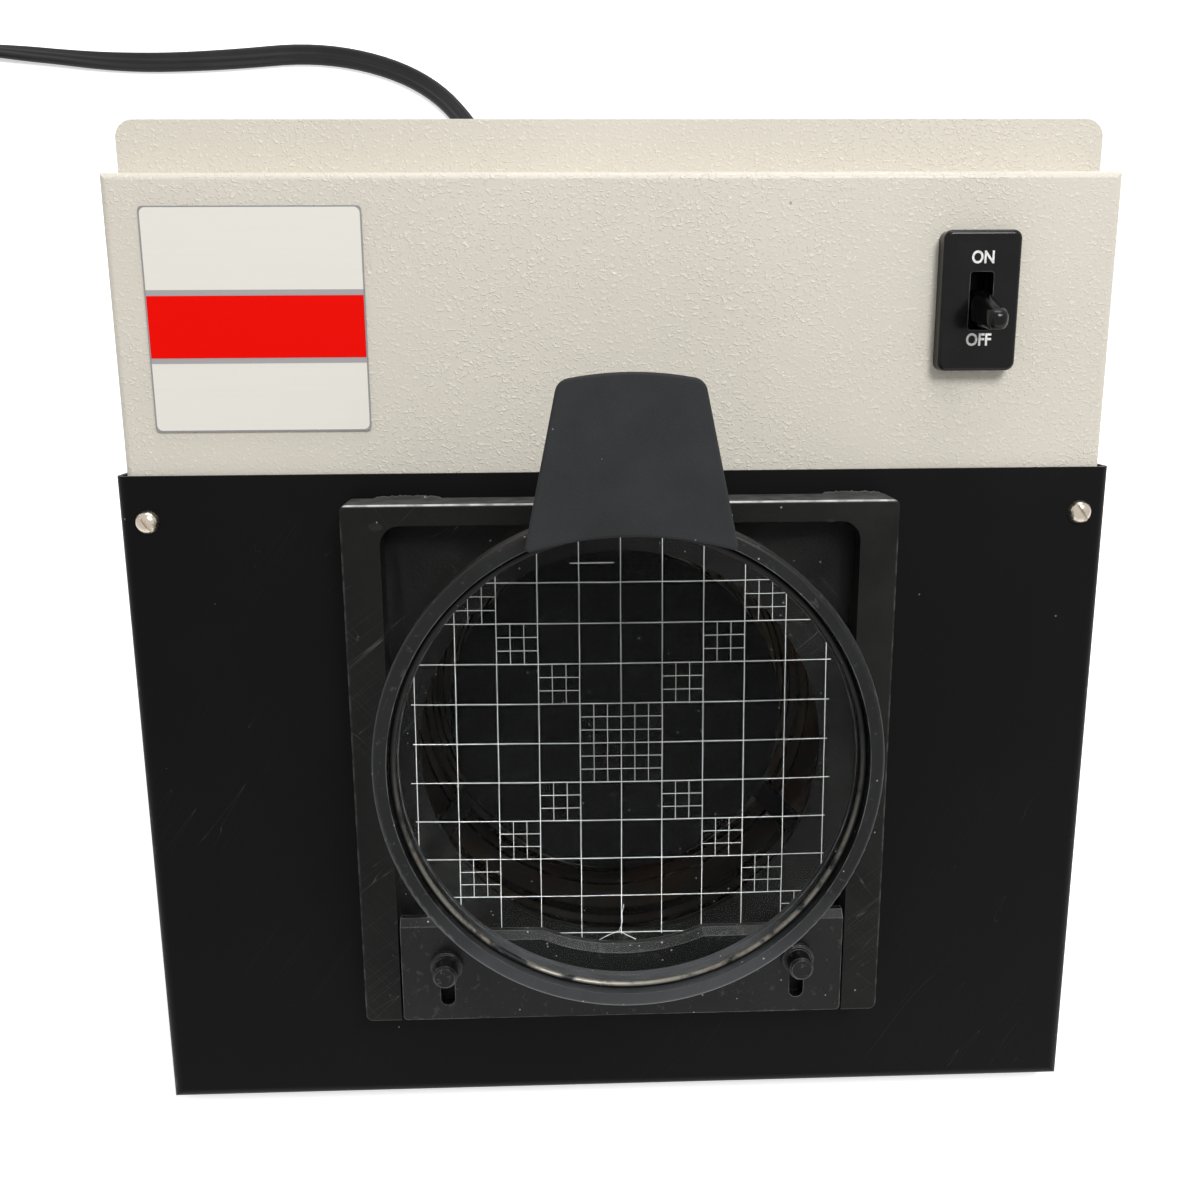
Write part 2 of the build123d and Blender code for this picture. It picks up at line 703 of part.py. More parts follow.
def switch_body():
    body = Box(switch_width, switch_height, switch_depth, align=top)
    body = fillet(body.edges().filter_by(Axis.Z), switch_corner)
    body -= Box(toggle_hub_width + 2 * hub_gap, bezel_slot_height,
                -toggle_pivot - sheet + toggle_hub + hub_gap, align=top)
    body -= Pos(0, 0, toggle_pivot + sheet) * Rot(0, 90, 0) * Cylinder(
        trunnion_radius + trunnion_fit,
        toggle_hub_width + 2 * (trunnion_reach + trunnion_end_gap))
    for side in (-1, 1):
        body += Pos(0, side * blade_pitch / 2, -switch_depth) * Box(
            switch_blade_width, switch_blade_thickness, switch_blade, align=top)
    return on_face(body, switch_x, switch_down, -sheet)


def toggle_lever():
    """A bat-shaped lever on two short trunnions, tipped down the slope."""
    tip = toggle_length
    waist = tip * toggle_waist
    lever = Cylinder(toggle_neck, waist, align=bottom)
    lever += Pos(0, 0, waist) * Cone(toggle_neck, toggle_tip, tip - waist, align=bottom)
    lever += Pos(0, 0, tip) * Sphere(toggle_tip)
    lever += Rot(0, 90, 0) * Cylinder(toggle_hub, toggle_hub_width)
    for side in (-1, 1):
        lever += Pos(side * (toggle_hub_width + trunnion_reach) / 2, 0, 0) * Rot(
            0, 90, 0) * Cylinder(trunnion_radius, trunnion_reach)
    return on_face(Rot(toggle_throw / 2, 0, 0) * lever, switch_x, switch_down, toggle_pivot)


# ---------------------------------------------------------------- lighting
def reflector():
    """A spun bowl with a turned-out rim."""
    wall = reflector_wall
    swell = ((reflector_mouth + reflector_throat) / 2 + reflector_swell,
             -reflector_depth * reflector_swell_depth)
    outer = ThreePointArc((reflector_mouth, -wall), swell, (reflector_throat, -reflector_depth))
    inner = ThreePointArc((reflector_throat - wall, -reflector_depth + wall),
                          (swell[0] - wall, swell[1]), (reflector_mouth - wall, 0))
    neck = socket_radius + reflector_neck_gap
    rim = reflector_mouth + reflector_rim
    back = Polyline(outer @ 1, (neck, -reflector_depth), (neck, -reflector_depth + wall),
                    inner @ 0)
    front = Polyline(inner @ 1, (rim, 0), (rim, -wall), outer @ 0)
    profile = make_face(Curve() + [outer, back, inner, front])
    return on_face(revolve(Plane.XZ * profile, Axis.Z), 0, aperture_down)


def dark_field_stop():
    """A black disc on three arms that hook over the reflector's rim."""
    disc = Pos(0, 0, -stop_depth) * Cylinder(stop_radius, stop_thickness, align=bottom)
    reach = reflector_mouth - reflector_wall - stop_rim_gap
    bent = stop_radius + stop_thickness
    arm = Pos(stop_radius - stop_arm_lap, 0, -stop_depth) * Box(
        stop_arm_lap + 2 * stop_thickness, stop_arm, stop_thickness,
        align=(Align.MIN, Align.CENTER, Align.MIN))
    lift = Plane.XZ * make_face(Polyline(
        (bent, -stop_depth), (bent + stop_thickness, -stop_depth), (reach, -stop_hook),
        (reach, 0), (reach - stop_thickness, 0),
        (bent, -stop_depth + 2 * stop_thickness), close=True))
    arm += extrude(lift, stop_arm / 2, both=True)
    for turn in (90, 210, 330):
        disc += Rot(0, 0, turn) * arm
    return on_face(disc, 0, aperture_down)


def lamp_socket():
    socket = Cylinder(socket_radius, socket_length, align=top)
    socket += Cylinder(socket_radius - socket_step, socket_collar, align=bottom)
    socket = chamfer(socket.edges().group_by(Axis.Z)[0], socket_edge)
    return on_face(socket, 0, aperture_down, -socket_face)


def lamp_bulb():
    neck_end = socket_collar - socket_face
    neck_start = -bulb_middle - math.sqrt(bulb_radius ** 2 - bulb_neck ** 2)
    glass = ThreePointArc((0, -bulb_middle + bulb_radius), (bulb_radius, -bulb_middle),
                          (bulb_neck, neck_start))
    side = [glass, Line(glass @ 1, (bulb_neck, neck_end)),
            Line((bulb_neck, neck_end), (0, neck_end)), Line((0, neck_end), glass @ 0)]
    return on_face(revolve(Plane.XZ * make_face(Curve() + side), Axis.Z), 0, aperture_down)


def lamp_bracket():
    """A folded bracket that stands on the base and carries the lamp socket."""
    out = -socket_face - socket_length
    floor = base_z + sheet + base_thickness
    low = (floor - base_z - out * run) / rise
    high = slope_length - aperture_down + socket_radius + lamp_bracket_head
    length = high - low
    plate = Pos(0, low + length / 2, out - base_thickness) * Box(
        lamp_bracket_width, length, base_thickness, align=bottom)
    plate = FACE * plate
    toe_y = front_y + low * run - out * rise
    toe = Pos(0, toe_y, floor) * Box(lamp_bracket_width, lamp_bracket_toe, base_thickness,
                                     align=(Align.CENTER, Align.MIN, Align.MIN))
    below = Pos(0, toe_y, floor) * Box(housing_width, slope_length, cut_reach, align=top)
    return (plate + toe) - below


def terminal_block():
    block = Box(block_length, block_width, block_height, align=bottom)
    block = fillet(block.edges().filter_by(Axis.Z), block_corner)
    for way in range(block_ways):
        block -= Pos(block_way(way), 0, block_height) * Cylinder(
            block_screw_radius, block_screw_depth, align=top)
    return Pos(relief_x, rear_y - block_in, base_z + sheet + base_thickness) * block


def block_way(way):
    """x of a terminal from the block's middle."""
    return (way - (block_ways - 1) / 2) * block_length / block_ways


def lead_path(points):
    """Straight runs joined by arcs as large as the runs allow."""
    return FilletPolyline(*points, radius=corner_radii(points))


def corner_radii(points):
    radii = []
    for before, here, after in zip(points, points[1:], points[2:]):
        a = Vector(*here) - Vector(*before)
        b = Vector(*after) - Vector(*here)
        shorter = min(a.length, b.length)
        radii.append(0.45 * shorter / math.tan(math.radians(a.get_angle(b)) / 2))
    return radii


def tube(points, radius):
    path = lead_path(points)
    section = Plane(origin=path @ 0, z_dir=path % 0) * Circle(radius)
    return sweep(section, path)


def internal_leads():
    block_top = base_z + sheet + base_thickness + block_height - block_screw_depth
    block_y = rear_y - block_in
    blade_up = slope_length - switch_down - blade_pitch / 2
    blade_end = -sheet - switch_depth - switch_blade
    switch_back = FACE.from_local_coords(Vector(switch_x, blade_up, blade_end))
    switch_below = FACE.from_local_coords(Vector(switch_x, blade_up, blade_end - lead_stub))
    socket_back = FACE.from_local_coords(
        Vector(0, slope_length - aperture_down, -socket_face - socket_length / 2))
    start = relief_x + block_way(block_ways - 1)
    leads = [[
        (start, block_y, block_top),
        (start, block_y, block_top + lead_rise),
        (switch_back.X - lead_slack, block_y - lead_radius, block_top + lead_bow),
        (switch_below.X - lead_radius, switch_below.Y + lead_radius, switch_below.Z - lead_drop),
        tuple(switch_below), tuple(switch_back)]]
    for side, way in ((1, 1), (-1, 0)):
        start = relief_x + block_way(way)
        socket_side = side * socket_radius
        leads.append([
            (start, block_y, block_top),
            (start, block_y, block_top + lead_rise),
            (socket_side + 2 * side * lead_swing, socket_back.Y + 1.5 * lead_swing,
             socket_back.Z + lead_swing / 2),
            (socket_side + side * lead_swing, socket_back.Y, socket_back.Z),
            (socket_side, socket_back.Y, socket_back.Z)])
    return [tube(points, lead_radius) for points in leads]


def strain_relief():
    relief = Cylinder(relief_hole, relief_plug, align=top)
    relief += Cylinder(relief_flange, relief_flange_thickness, align=bottom)
    tail = Cone(relief_flange - relief_tail_step, relief_tail_radius, relief_tail, align=bottom)
    relief += Pos(0, 0, relief_flange_thickness) * tail
    relief += Pos(0, 0, -relief_plug) * Cylinder(
        relief_hole - relief_groove, relief_plug, align=top)
    return Pos(relief_x, rear_y + sheet, relief_height) * Rot(-90, 0, 0) * relief


# ---------------------------------------------------------------- cord
cord_start = rear_y + sheet + relief_flange_thickness + relief_tail
bench = cord_diameter / 2


def behind(x, y, z=bench):
    """A point of the cord: y is measured back from the end of the strain relief."""
    return (x, cord_start + y, z)


cord_route = [
    behind(relief_x, 0, relief_height),
    behind(relief_x, 38, relief_height),
    behind(-27, 84, 30),
    behind(-31, 130, 14),
    behind(-38, 180, 6.5),
    behind(-51, 230),
    behind(-80, 277),
    behind(-131, 300),
    behind(-185, 290),
    behind(-232, 290),
    behind(-282, 300),
    behind(-320, 303),
    behind(-340, 303.2),
]
coil_y = cord_start + coil_y_back


def power_cord():
    radii = corner_radii(cord_route)
    print("cord corner radii in diameters:", [round(r / cord_diameter, 1) for r in radii])
    cord = tube(cord_route, cord_diameter / 2)
    length = lead_path(cord_route).length
    print("cord tube", round(length), "mm, volume ratio",
          round(cord.volume / (math.pi * bench ** 2 * length), 4))
    return cord


def cord_coil():
    section = RectangleRounded(coil_width, coil_height, coil_corner)
    ring = revolve(Plane.XZ * Pos(coil_radius, coil_height / 2) * section, Axis.Z)
    return Pos(coil_x, coil_y, 0) * ring


def beside_coil(piece, past):
    """A piece drawn along Z, set on the cord's line past the coil's side."""
    place = Pos(coil_x - coil_radius, coil_y - past, plug_thickness / 2)
    return place * Rot(90, 0, 0) * piece


def cord_tail():
    tail = Cylinder(cord_diameter / 2, plug_past_coil - tail_start, align=bottom)
    return beside_coil(tail, tail_start)


def plug_body():
    sections = [(0, plug_waist, plug_waist), (0.35, plug_waist + 2, plug_waist + 1),
                (0.7, plug_width, plug_thickness), (1, plug_width, plug_thickness)]
    faces = [Pos(0, 0, share * plug_length) * RectangleRounded(width, height, plug_corner)
             for share, width, height in sections]
    body = loft([f.face() for f in faces], ruled=True)
    return beside_coil(body, plug_past_coil)


def plug_pins():
    blade = Box(blade_thickness, blade_width, blade_length, align=bottom)
    pins = [Pos(side * blade_spacing / 2, -pin_drop, 0) * blade for side in (-1, 1)]
    pins.append(Pos(0, earth_offset / 2, 0) * Cylinder(
        earth_radius, earth_length, align=bottom))
    return [beside_coil(pin, plug_past_coil + plug_length) for pin in pins]


# ---------------------------------------------------------------- the nodes
def group(pieces):
    return Compound(children=pieces)


nodes = {
    "body_shell": body_shell(),
    "front_cover": front_cover(),
    "rear_cover": rear_cover(),
    "base_plate": base_plate(),
    "rubber_feet": group([Pos(x, y, 0) * rubber_foot() for x, y in foot_places()]),
    "foot_screws": group(foot_screws()),
    "cover_screws": group(cover_screws()),
    "rear_screws": group(rear_screws()),
    "nameplate": nameplate(),
    "switch_bezel": switch_bezel(),
    "switch_body": switch_body(),
    "toggle_lever": toggle_lever(),
    "stage_plate": stage_plate(),
    "stage_screws": group(stage_screws()),
    "guide_plate": guide_plate(),
    "magnifier_frame": magnifier_frame(),
    "magnifier_lens": magnifier_lens(),
    "snap_ring": snap_ring(),
    "shade_tab": shade_tab(),
    "thumbscrew_left": thumbscrew(-1),
    "thumbscrew_right": thumbscrew(1),
    "reflector": reflector(),
    "dark_field_stop": dark_field_stop(),
    "lamp_socket": lamp_socket(),
    "lamp_bulb": lamp_bulb(),
    "lamp_bracket": lamp_bracket(),
    "terminal_block": terminal_block(),
    "internal_leads": group(internal_leads()),
    "strain_relief": strain_relief(),
    "power_cord": power_cord(),
    "cord_coil": cord_coil(),
    "cord_tail": cord_tail(),
    "plug_body": plug_body(),
    "plug_pins": group(plug_pins()),
}

os.makedirs("parts", exist_ok=True)
for name, piece in nodes.items():
    export_step(piece, f"parts/{name}.step")
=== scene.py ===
import json
import math
import random

import bmesh
import bpy
from bpy.props import FloatProperty, FloatVectorProperty, IntProperty, PointerProperty
from mathutils import Matrix, Vector


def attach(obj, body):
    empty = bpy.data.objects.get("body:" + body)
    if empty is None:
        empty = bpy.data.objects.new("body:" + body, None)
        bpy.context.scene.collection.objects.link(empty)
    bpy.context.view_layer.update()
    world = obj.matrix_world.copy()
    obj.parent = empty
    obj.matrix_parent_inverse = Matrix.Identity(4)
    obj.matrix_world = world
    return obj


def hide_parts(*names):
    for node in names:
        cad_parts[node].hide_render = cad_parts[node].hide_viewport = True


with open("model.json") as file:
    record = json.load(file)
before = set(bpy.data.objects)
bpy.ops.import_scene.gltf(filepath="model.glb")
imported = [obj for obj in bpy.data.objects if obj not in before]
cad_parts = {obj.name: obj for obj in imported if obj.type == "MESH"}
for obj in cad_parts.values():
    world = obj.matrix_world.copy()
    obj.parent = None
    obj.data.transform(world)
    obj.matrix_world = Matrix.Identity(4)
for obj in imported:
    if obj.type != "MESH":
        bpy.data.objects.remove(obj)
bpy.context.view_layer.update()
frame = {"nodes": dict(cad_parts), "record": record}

bl_info = {
    "name": "Bench colony counter",
    "version": (1, 0, 0),
    "blender": (4, 5, 0),
    "location": "3D View > Sidebar > Counter",
    "description": "Finishes, glass, cord and small parts of a lit bench colony counter",
    "category": "Object",
}

# ---------------------------------------------------------------- places on the sloping front
LEAN = math.radians(45)
ACROSS = Vector((1, 0, 0))
UP_SLOPE = Vector((0, math.cos(LEAN), math.sin(LEAN)))
OUTWARD = Vector((0, -math.sin(LEAN), math.cos(LEAN)))
SLOPE = Matrix((ACROSS, UP_SLOPE, OUTWARD)).transposed().to_4x4()


def slope_box(name):
    """Lowest and highest place of a CAD node, as across, up the slope and outward."""
    places = [SLOPE.transposed() @ v.co for v in frame["nodes"][name].data.vertices]
    low = Vector([min(p[i] for p in places) for i in range(3)])
    high = Vector([max(p[i] for p in places) for i in range(3)])
    return low, high


def display(red, green, blue):
    """A colour as it shows on a screen, 0 to 255, as the linear values that Blender keeps."""
    def linear(value):
        share = value / 255
        return share / 12.92 if share <= 0.04045 else ((share + 0.055) / 1.055) ** 2.4
    return (linear(red), linear(green), linear(blue))


# ---------------------------------------------------------------- settings
def colour(name, description, red, green, blue):
    return FloatVectorProperty(name=name, description=description, subtype="COLOR", size=3,
                               min=0, max=1, default=display(red, green, blue))


def length(name, description, default):
    return FloatProperty(name=name, description=description, subtype="DISTANCE",
                         unit="LENGTH", default=default, min=0)


class CounterFinish(bpy.types.PropertyGroup):
    putty: colour("Putty enamel", "Textured paint of the housing", 211, 205, 193)
    cover: colour("Black enamel", "Paint of the front cover", 10, 10, 10)
    stage: colour("Stage black", "Moulded stage that holds the glass", 14, 14, 13)
    magnifier: colour("Magnifier black", "Paint of the ring, riser and foot", 13, 14, 14)
    tab: colour("Tab charcoal", "Plastic of the shade tab", 40, 41, 42)
    bezel: colour("Switch black", "Glossy moulding round the switch", 6, 6, 6)
    plate_white: colour("Plate white", "Printed fields of the nameplate", 229, 226, 217)
    plate_line: colour("Plate lines", "Silver lines beside the band", 168, 165, 166)
    plate_red: colour("Plate red", "Band across the nameplate", 236, 8, 0)
    letters: colour("Switch letters", "Paint of the on and off marks", 232, 232, 228)
    ruling: colour("Ruling", "Lines on the guide plate", 238, 240, 238)
    cord: colour("Cord black", "Jacket of the mains cord", 17, 17, 18)


class CounterSizes(bpy.types.PropertyGroup):
    ruling_line: length("Ruling line", "Width of the lines on the guide plate", 0.00017)
    ruling_fine: length("Fine ruling", "Width of the lines inside a divided square", 0.00012)
    square: length("Square", "Side of one counting square", 0.01)
    ruling_squares: IntProperty(name="Squares", description="Squares each side of the middle",
                                default=5, min=1)
    letter_height: length("Letter height", "Height of the on and off marks", 0.0029)
    cord_width: length("Cord width", "Flat cord, across its three conductors", 0.0096)
    cord_thickness: length("Cord thickness", "Flat cord, through one conductor", 0.0036)
    coil_turns: FloatProperty(name="Coil turns", description="Turns of cord put away",
                              default=3.25, min=0.25)


class CounterStudio(bpy.types.PropertyGroup):
    key_power: FloatProperty(name="Key light", description="Soft light over the operator's right",
                             subtype="POWER", unit="POWER", default=11.0)
    back_power: FloatProperty(name="Back light", description="Soft light above and behind",
                              subtype="POWER", unit="POWER", default=7.0)
    sky: FloatProperty(name="Sky", description="Strength of the plain surroundings", default=0.46)
    floor: colour("Floor", "Plain pale floor", 246, 246, 246)


# ---------------------------------------------------------------- node trees
class Finish:
    """One procedural material, or the sky, built node by node."""

    def __init__(self, name, sky=False):
        self.output = "ShaderNodeOutputWorld" if sky else "ShaderNodeOutputMaterial"
        self.material = (bpy.data.worlds if sky else bpy.data.materials).new(name)
        self.material.use_nodes = True
        self.tree = self.material.node_tree
        self.tree.nodes.clear()
        self.place = self.add("ShaderNodeTexCoord").outputs["Object"]

    def add(self, kind, sockets=None, **attributes):
        made = self.tree.nodes.new(kind)
        for name, value in attributes.items():
            setattr(made, name, value)
        for name, value in (sockets or {}).items():
            if isinstance(value, bpy.types.NodeSocket):
                self.tree.links.new(value, made.inputs[name])
            else:
                made.inputs[name].default_value = value
        return made

    def math(self, operation, first, second=0.0, third=0.0):
        return self.add("ShaderNodeMath", {0: first, 1: second, 2: third},
                        operation=operation).outputs[0]

    def times(self, product, *shares):
        for share in shares:
            product = self.math("MULTIPLY", product, share)
        return product

    def parts(self, vector):
        return self.add("ShaderNodeSeparateXYZ", {"Vector": vector}).outputs

    def slope_place(self):
        """Places as across, up the slope and outward."""
        turned = self.add("ShaderNodeVectorRotate", {"Vector": self.place, "Angle": -LEAN},
                          rotation_type="X_AXIS")
        return turned.outputs["Vector"]

    def slope_from(self, middle):
        """The same, counted from a middle."""
        return self.add("ShaderNodeVectorMath", {0: self.slope_place(), 1: tuple(middle)},
                        operation="SUBTRACT").outputs[0]

    def length_of(self, vector):
        return self.add("ShaderNodeVectorMath", {0: vector}, operation="LENGTH").outputs["Value"]

    def stretched(self, place, across=1.0, along=1.0, out=1.0):
        return self.add("ShaderNodeVectorMath", {0: place, 1: (across, along, out)},
                        operation="MULTIPLY").outputs[0]

    def noise(self, scale, detail=3.0, roughness=0.5, place=None, distortion=0.0):
        made = self.add("ShaderNodeTexNoise", {
            "Vector": place or self.place, "Scale": scale, "Detail": detail,
            "Roughness": roughness, "Distortion": distortion})
        return made.outputs["Fac"]

    def between(self, value, low, high, to_low=0.0, to_high=1.0):
        made = self.add("ShaderNodeMapRange", {
            "Value": value, "From Min": low, "From Max": high,
            "To Min": to_low, "To Max": to_high}, clamp=True)
        return made.outputs["Result"]

    def patches(self, scale, detail, low, high, to_low=0.0, to_high=1.0, roughness=0.5):
        """Cloudy patches: to_low where the noise is under low, to_high where it is over high."""
        return self.between(self.noise(scale, detail, roughness), low, high, to_low, to_high)

    def mix(self, share, first, second):
        made = self.add("ShaderNodeMix", data_type="RGBA")
        for socket, value in zip((made.inputs[0], made.inputs[6], made.inputs[7]),
                                 (share, first, second)):
            if isinstance(value, bpy.types.NodeSocket):
                self.tree.links.new(value, socket)
            elif socket == made.inputs[0]:
                socket.default_value = value
            else:
                socket.default_value = (*value[:3], 1)
        return made.outputs[2]

    def bump(self, height, distance, strength=1.0):
        sockets = {"Height": height, "Distance": distance, "Strength": strength}
        return self.add("ShaderNodeBump", sockets).outputs["Normal"]

    def specks(self, scale, size, share):
        """1 inside small scattered flecks and 0 elsewhere."""
        cell = self.add("ShaderNodeTexVoronoi", {"Vector": self.place, "Scale": scale})
        near = self.math("LESS_THAN", cell.outputs["Distance"], size)
        split = self.add("ShaderNodeSeparateColor", {"Color": cell.outputs["Color"]})
        kept = self.math("LESS_THAN", split.outputs["Red"], share)
        return self.times(near, kept)

    def flecked(self, tone, scale, size, share, strength, fleck):
        """The tone with small scattered flecks of another colour."""
        return self.mix(self.times(self.specks(scale, size, share), strength), tone, fleck)

    def scratches(self, scale, turn, place, threshold, stretch=26.0):
        """1 along thin straight marks that lie about one way."""
        turned = self.add("ShaderNodeVectorRotate", {"Vector": place, "Angle": turn},
                          rotation_type="Z_AXIS")
        field = self.noise(scale, 1.0, 0.4, self.stretched(turned.outputs["Vector"], stretch, 1, 1))
        ridge = self.math("SUBTRACT", 1.0, self.math("ABSOLUTE", self.math(
            "MULTIPLY_ADD", field, 2.0, -1.0)))
        return self.between(ridge, threshold, 1.0)

    def edges(self, width, slight=0.985, full=0.86):
        """1 along the sharp edges of a piece and 0 on its faces."""
        rounded = self.add("ShaderNodeBevel", {"Radius": width}, samples=6).outputs["Normal"]
        flat = self.add("ShaderNodeNewGeometry").outputs["Normal"]
        turned = self.add("ShaderNodeVectorMath", {0: rounded, 1: flat},
                          operation="DOT_PRODUCT").outputs["Value"]
        return self.between(turned, slight, full)

    def surface(self, base, roughness, normal=None, **uniform):
        sockets = {"Base Color": base if isinstance(base, bpy.types.NodeSocket) else (*base[:3], 1),
                   "Roughness": roughness}
        if normal is not None:
            sockets["Normal"] = normal
        for name, value in uniform.items():
            sockets[name.replace("_", " ")] = value
        shader = self.add("ShaderNodeBsdfPrincipled", sockets)
        self.finish(shader.outputs["BSDF"])
        return shader

    def finish(self, shader):
        self.add(self.output, {"Surface": shader})

    def seen(self):
        """1 where the eye sees the surface itself, or in a mirror or through glass."""
        rays = self.add("ShaderNodeLightPath").outputs
        in_mirror_or_glass = self.math("MAXIMUM", rays["Is Glossy Ray"], rays["Is Transmission Ray"])
        return self.math("MAXIMUM", rays["Is Camera Ray"], in_mirror_or_glass)


def shade(amount, base):
    """A lighter or darker colour of the same hue."""
    return tuple(min(1.0, channel * amount) for channel in base[:3])


# ---------------------------------------------------------------- finishes
def textured_enamel(name, base):
    """Baked putty enamel, fine orange peel with scattered raised commas; the commas, fine flecks and
    the folds are painted lighter as painted highlights.
    """
    f = Finish(name)
    slope = f.slope_place()
    peel = f.noise(1300, 2.0, 0.5)
    bent = f.noise(1050, 1.0, 0.45, f.stretched(slope, 1.0, 1.2, 1.0), 0.6)
    comma = f.between(bent, 0.55, 0.68)
    zone = f.patches(24, 2, 0.32, 0.6, 0.3, 1.0)
    raised = f.times(comma, zone)
    broad = f.noise(17, 2, 0.5)
    tone = f.mix(f.between(broad, 0.35, 0.65), shade(0.975, base), shade(1.02, base))
    # the raised commas are painted lighter: painted highlight
    tone = f.mix(f.times(raised, 0.32), tone, shade(1.34, base))
    # small pale flecks: painted glints
    tone = f.flecked(tone, 820, 0.18, 0.2, 0.4, shade(1.5, base))
    # the folds are painted lighter in patches: painted highlight along the bends
    fold = f.edges(0.0006, 0.97, 0.85)
    tone = f.mix(f.times(fold, f.patches(900, 2, 0.4, 0.6, 0.1, 0.5)), tone, shade(1.6, base))
    tone = f.flecked(tone, 95, 0.035, 0.1, 0.7, shade(0.32, base))
    height = f.math("ADD", f.times(peel, 0.4), raised)
    gloss = f.between(broad, 0.3, 0.7, 0.34, 0.42)
    f.surface(tone, gloss, f.bump(height, 0.00016, 0.8), Specular_IOR_Level=0.35)
    return f.material


def black_enamel(name, base, half_width, foot_up):
    """Smooth black enamel, chipped along its side folds and its lower edge, with a few fine scratches.
    """
    f = Finish(name)
    slope = f.slope_place()
    across, up = f.parts(slope)[:2]
    from_side = f.math("SUBTRACT", half_width, f.math("ABSOLUTE", across))
    from_foot = f.math("SUBTRACT", up, foot_up)
    edge = f.math("MINIMUM", from_side, from_foot)
    near_edge = f.between(edge, 0.0003, 0.0016, 1.0, 0.0)
    ragged = f.patches(170, 4, 0.62, 0.66, roughness=0.7)
    chips = f.times(near_edge, ragged)
    bloom = f.noise(16, 3, 0.55)
    # the cover is painted lighter towards the right: painted light
    painted_light_to_right = f.between(across, -0.125, 0.125, 0.0, 0.5)
    tone = f.mix(f.math("ADD", painted_light_to_right, f.between(bloom, 0.4, 0.8, 0.0, 0.4)), shade(0.7, base),
                 shade(1.7, base))
    marks = f.times(f.scratches(9, 0.6, slope, 0.997), f.between(bloom, 0.5, 0.6))
    tone = f.mix(f.times(marks, 0.16), tone, display(120, 120, 118))
    tone = f.flecked(tone, 190, 0.05, 0.1, 0.45, display(150, 150, 148))
    tone = f.mix(f.times(chips, 0.6), tone, display(88, 82, 78))
    height = f.math("ADD", f.noise(1300, 3), f.times(f.noise(150, 2), 0.5))
    height = f.math("SUBTRACT", height, f.times(chips, 2.0))
    gloss = f.between(bloom, 0.3, 0.7, 0.42, 0.56)
    f.surface(tone, gloss, f.bump(height, 0.00005, 0.8), Specular_IOR_Level=0.08)
    return f.material


def moulded_stage(name, base, low, high):
    """Grained black moulding with a haze of dust and cobweb scratches, painted lighter towards the
    right as painted light, with a painted highlight along its upper edge and a paler top wall that is
    partly dust and partly painted highlight.
    """
    f = Finish(name)
    slope = f.slope_place()
    across, up, out = f.parts(slope)
    # painted lighter towards the right: painted light, which also scales the haze of dust
    painted_light_to_right = f.between(across, -0.07, 0.07)
    bloom = f.patches(34, 4, 0.35, 0.7, roughness=0.6)
    haze_and_painted_light = f.times(bloom, f.math("MULTIPLY_ADD", painted_light_to_right, 0.75, 0.5))
    tone = f.mix(haze_and_painted_light, shade(0.8, base), shade(2.6, base))
    web = f.math("MAXIMUM", f.scratches(12, 0.9, slope, 0.994), f.scratches(15, -0.7, slope, 0.995))
    webbed = f.times(web, f.patches(26, 2, 0.5, 0.62))
    tone = f.mix(f.times(webbed, 0.22), tone, display(140, 140, 138))
    tone = f.flecked(tone, 330, 0.085, 0.16, 0.5, display(178, 178, 172))
    grain = f.noise(2300, 2)
    # the top wall is painted paler in patches: partly dust, partly painted highlight
    top_wall = f.between(up, high.y - 0.0009, high.y - 0.0002)
    dust_and_painted_sheen = f.patches(260, 3, 0.3, 0.6, 0.35, 0.9)
    tone = f.mix(f.times(top_wall, dust_and_painted_sheen), tone, display(78, 78, 77))
    # a thin pale line along the upper edge: painted highlight
    arris = f.times(f.between(up, high.y - 0.0006, high.y - 0.0004),
                    f.between(out, high.z - 0.0005, high.z - 0.0003))
    bright = f.patches(220, 3, 0.35, 0.6, 0.35, 0.9)
    tone = f.mix(f.times(arris, bright), tone, display(206, 206, 202))
    rim = f.math("SUBTRACT", high.x, f.math("ABSOLUTE", across))
    worn = f.times(f.between(rim, 0.0, 0.0007, 1.0, 0.0), f.patches(300, 3, 0.45, 0.6))
    tone = f.mix(f.times(worn, 0.4), tone, display(120, 120, 118))
    f.surface(tone, 0.5, f.bump(f.math("ADD", grain, f.noise(500, 2)), 0.00006, 0.8),
              Specular_IOR_Level=0.14)
    return f.material


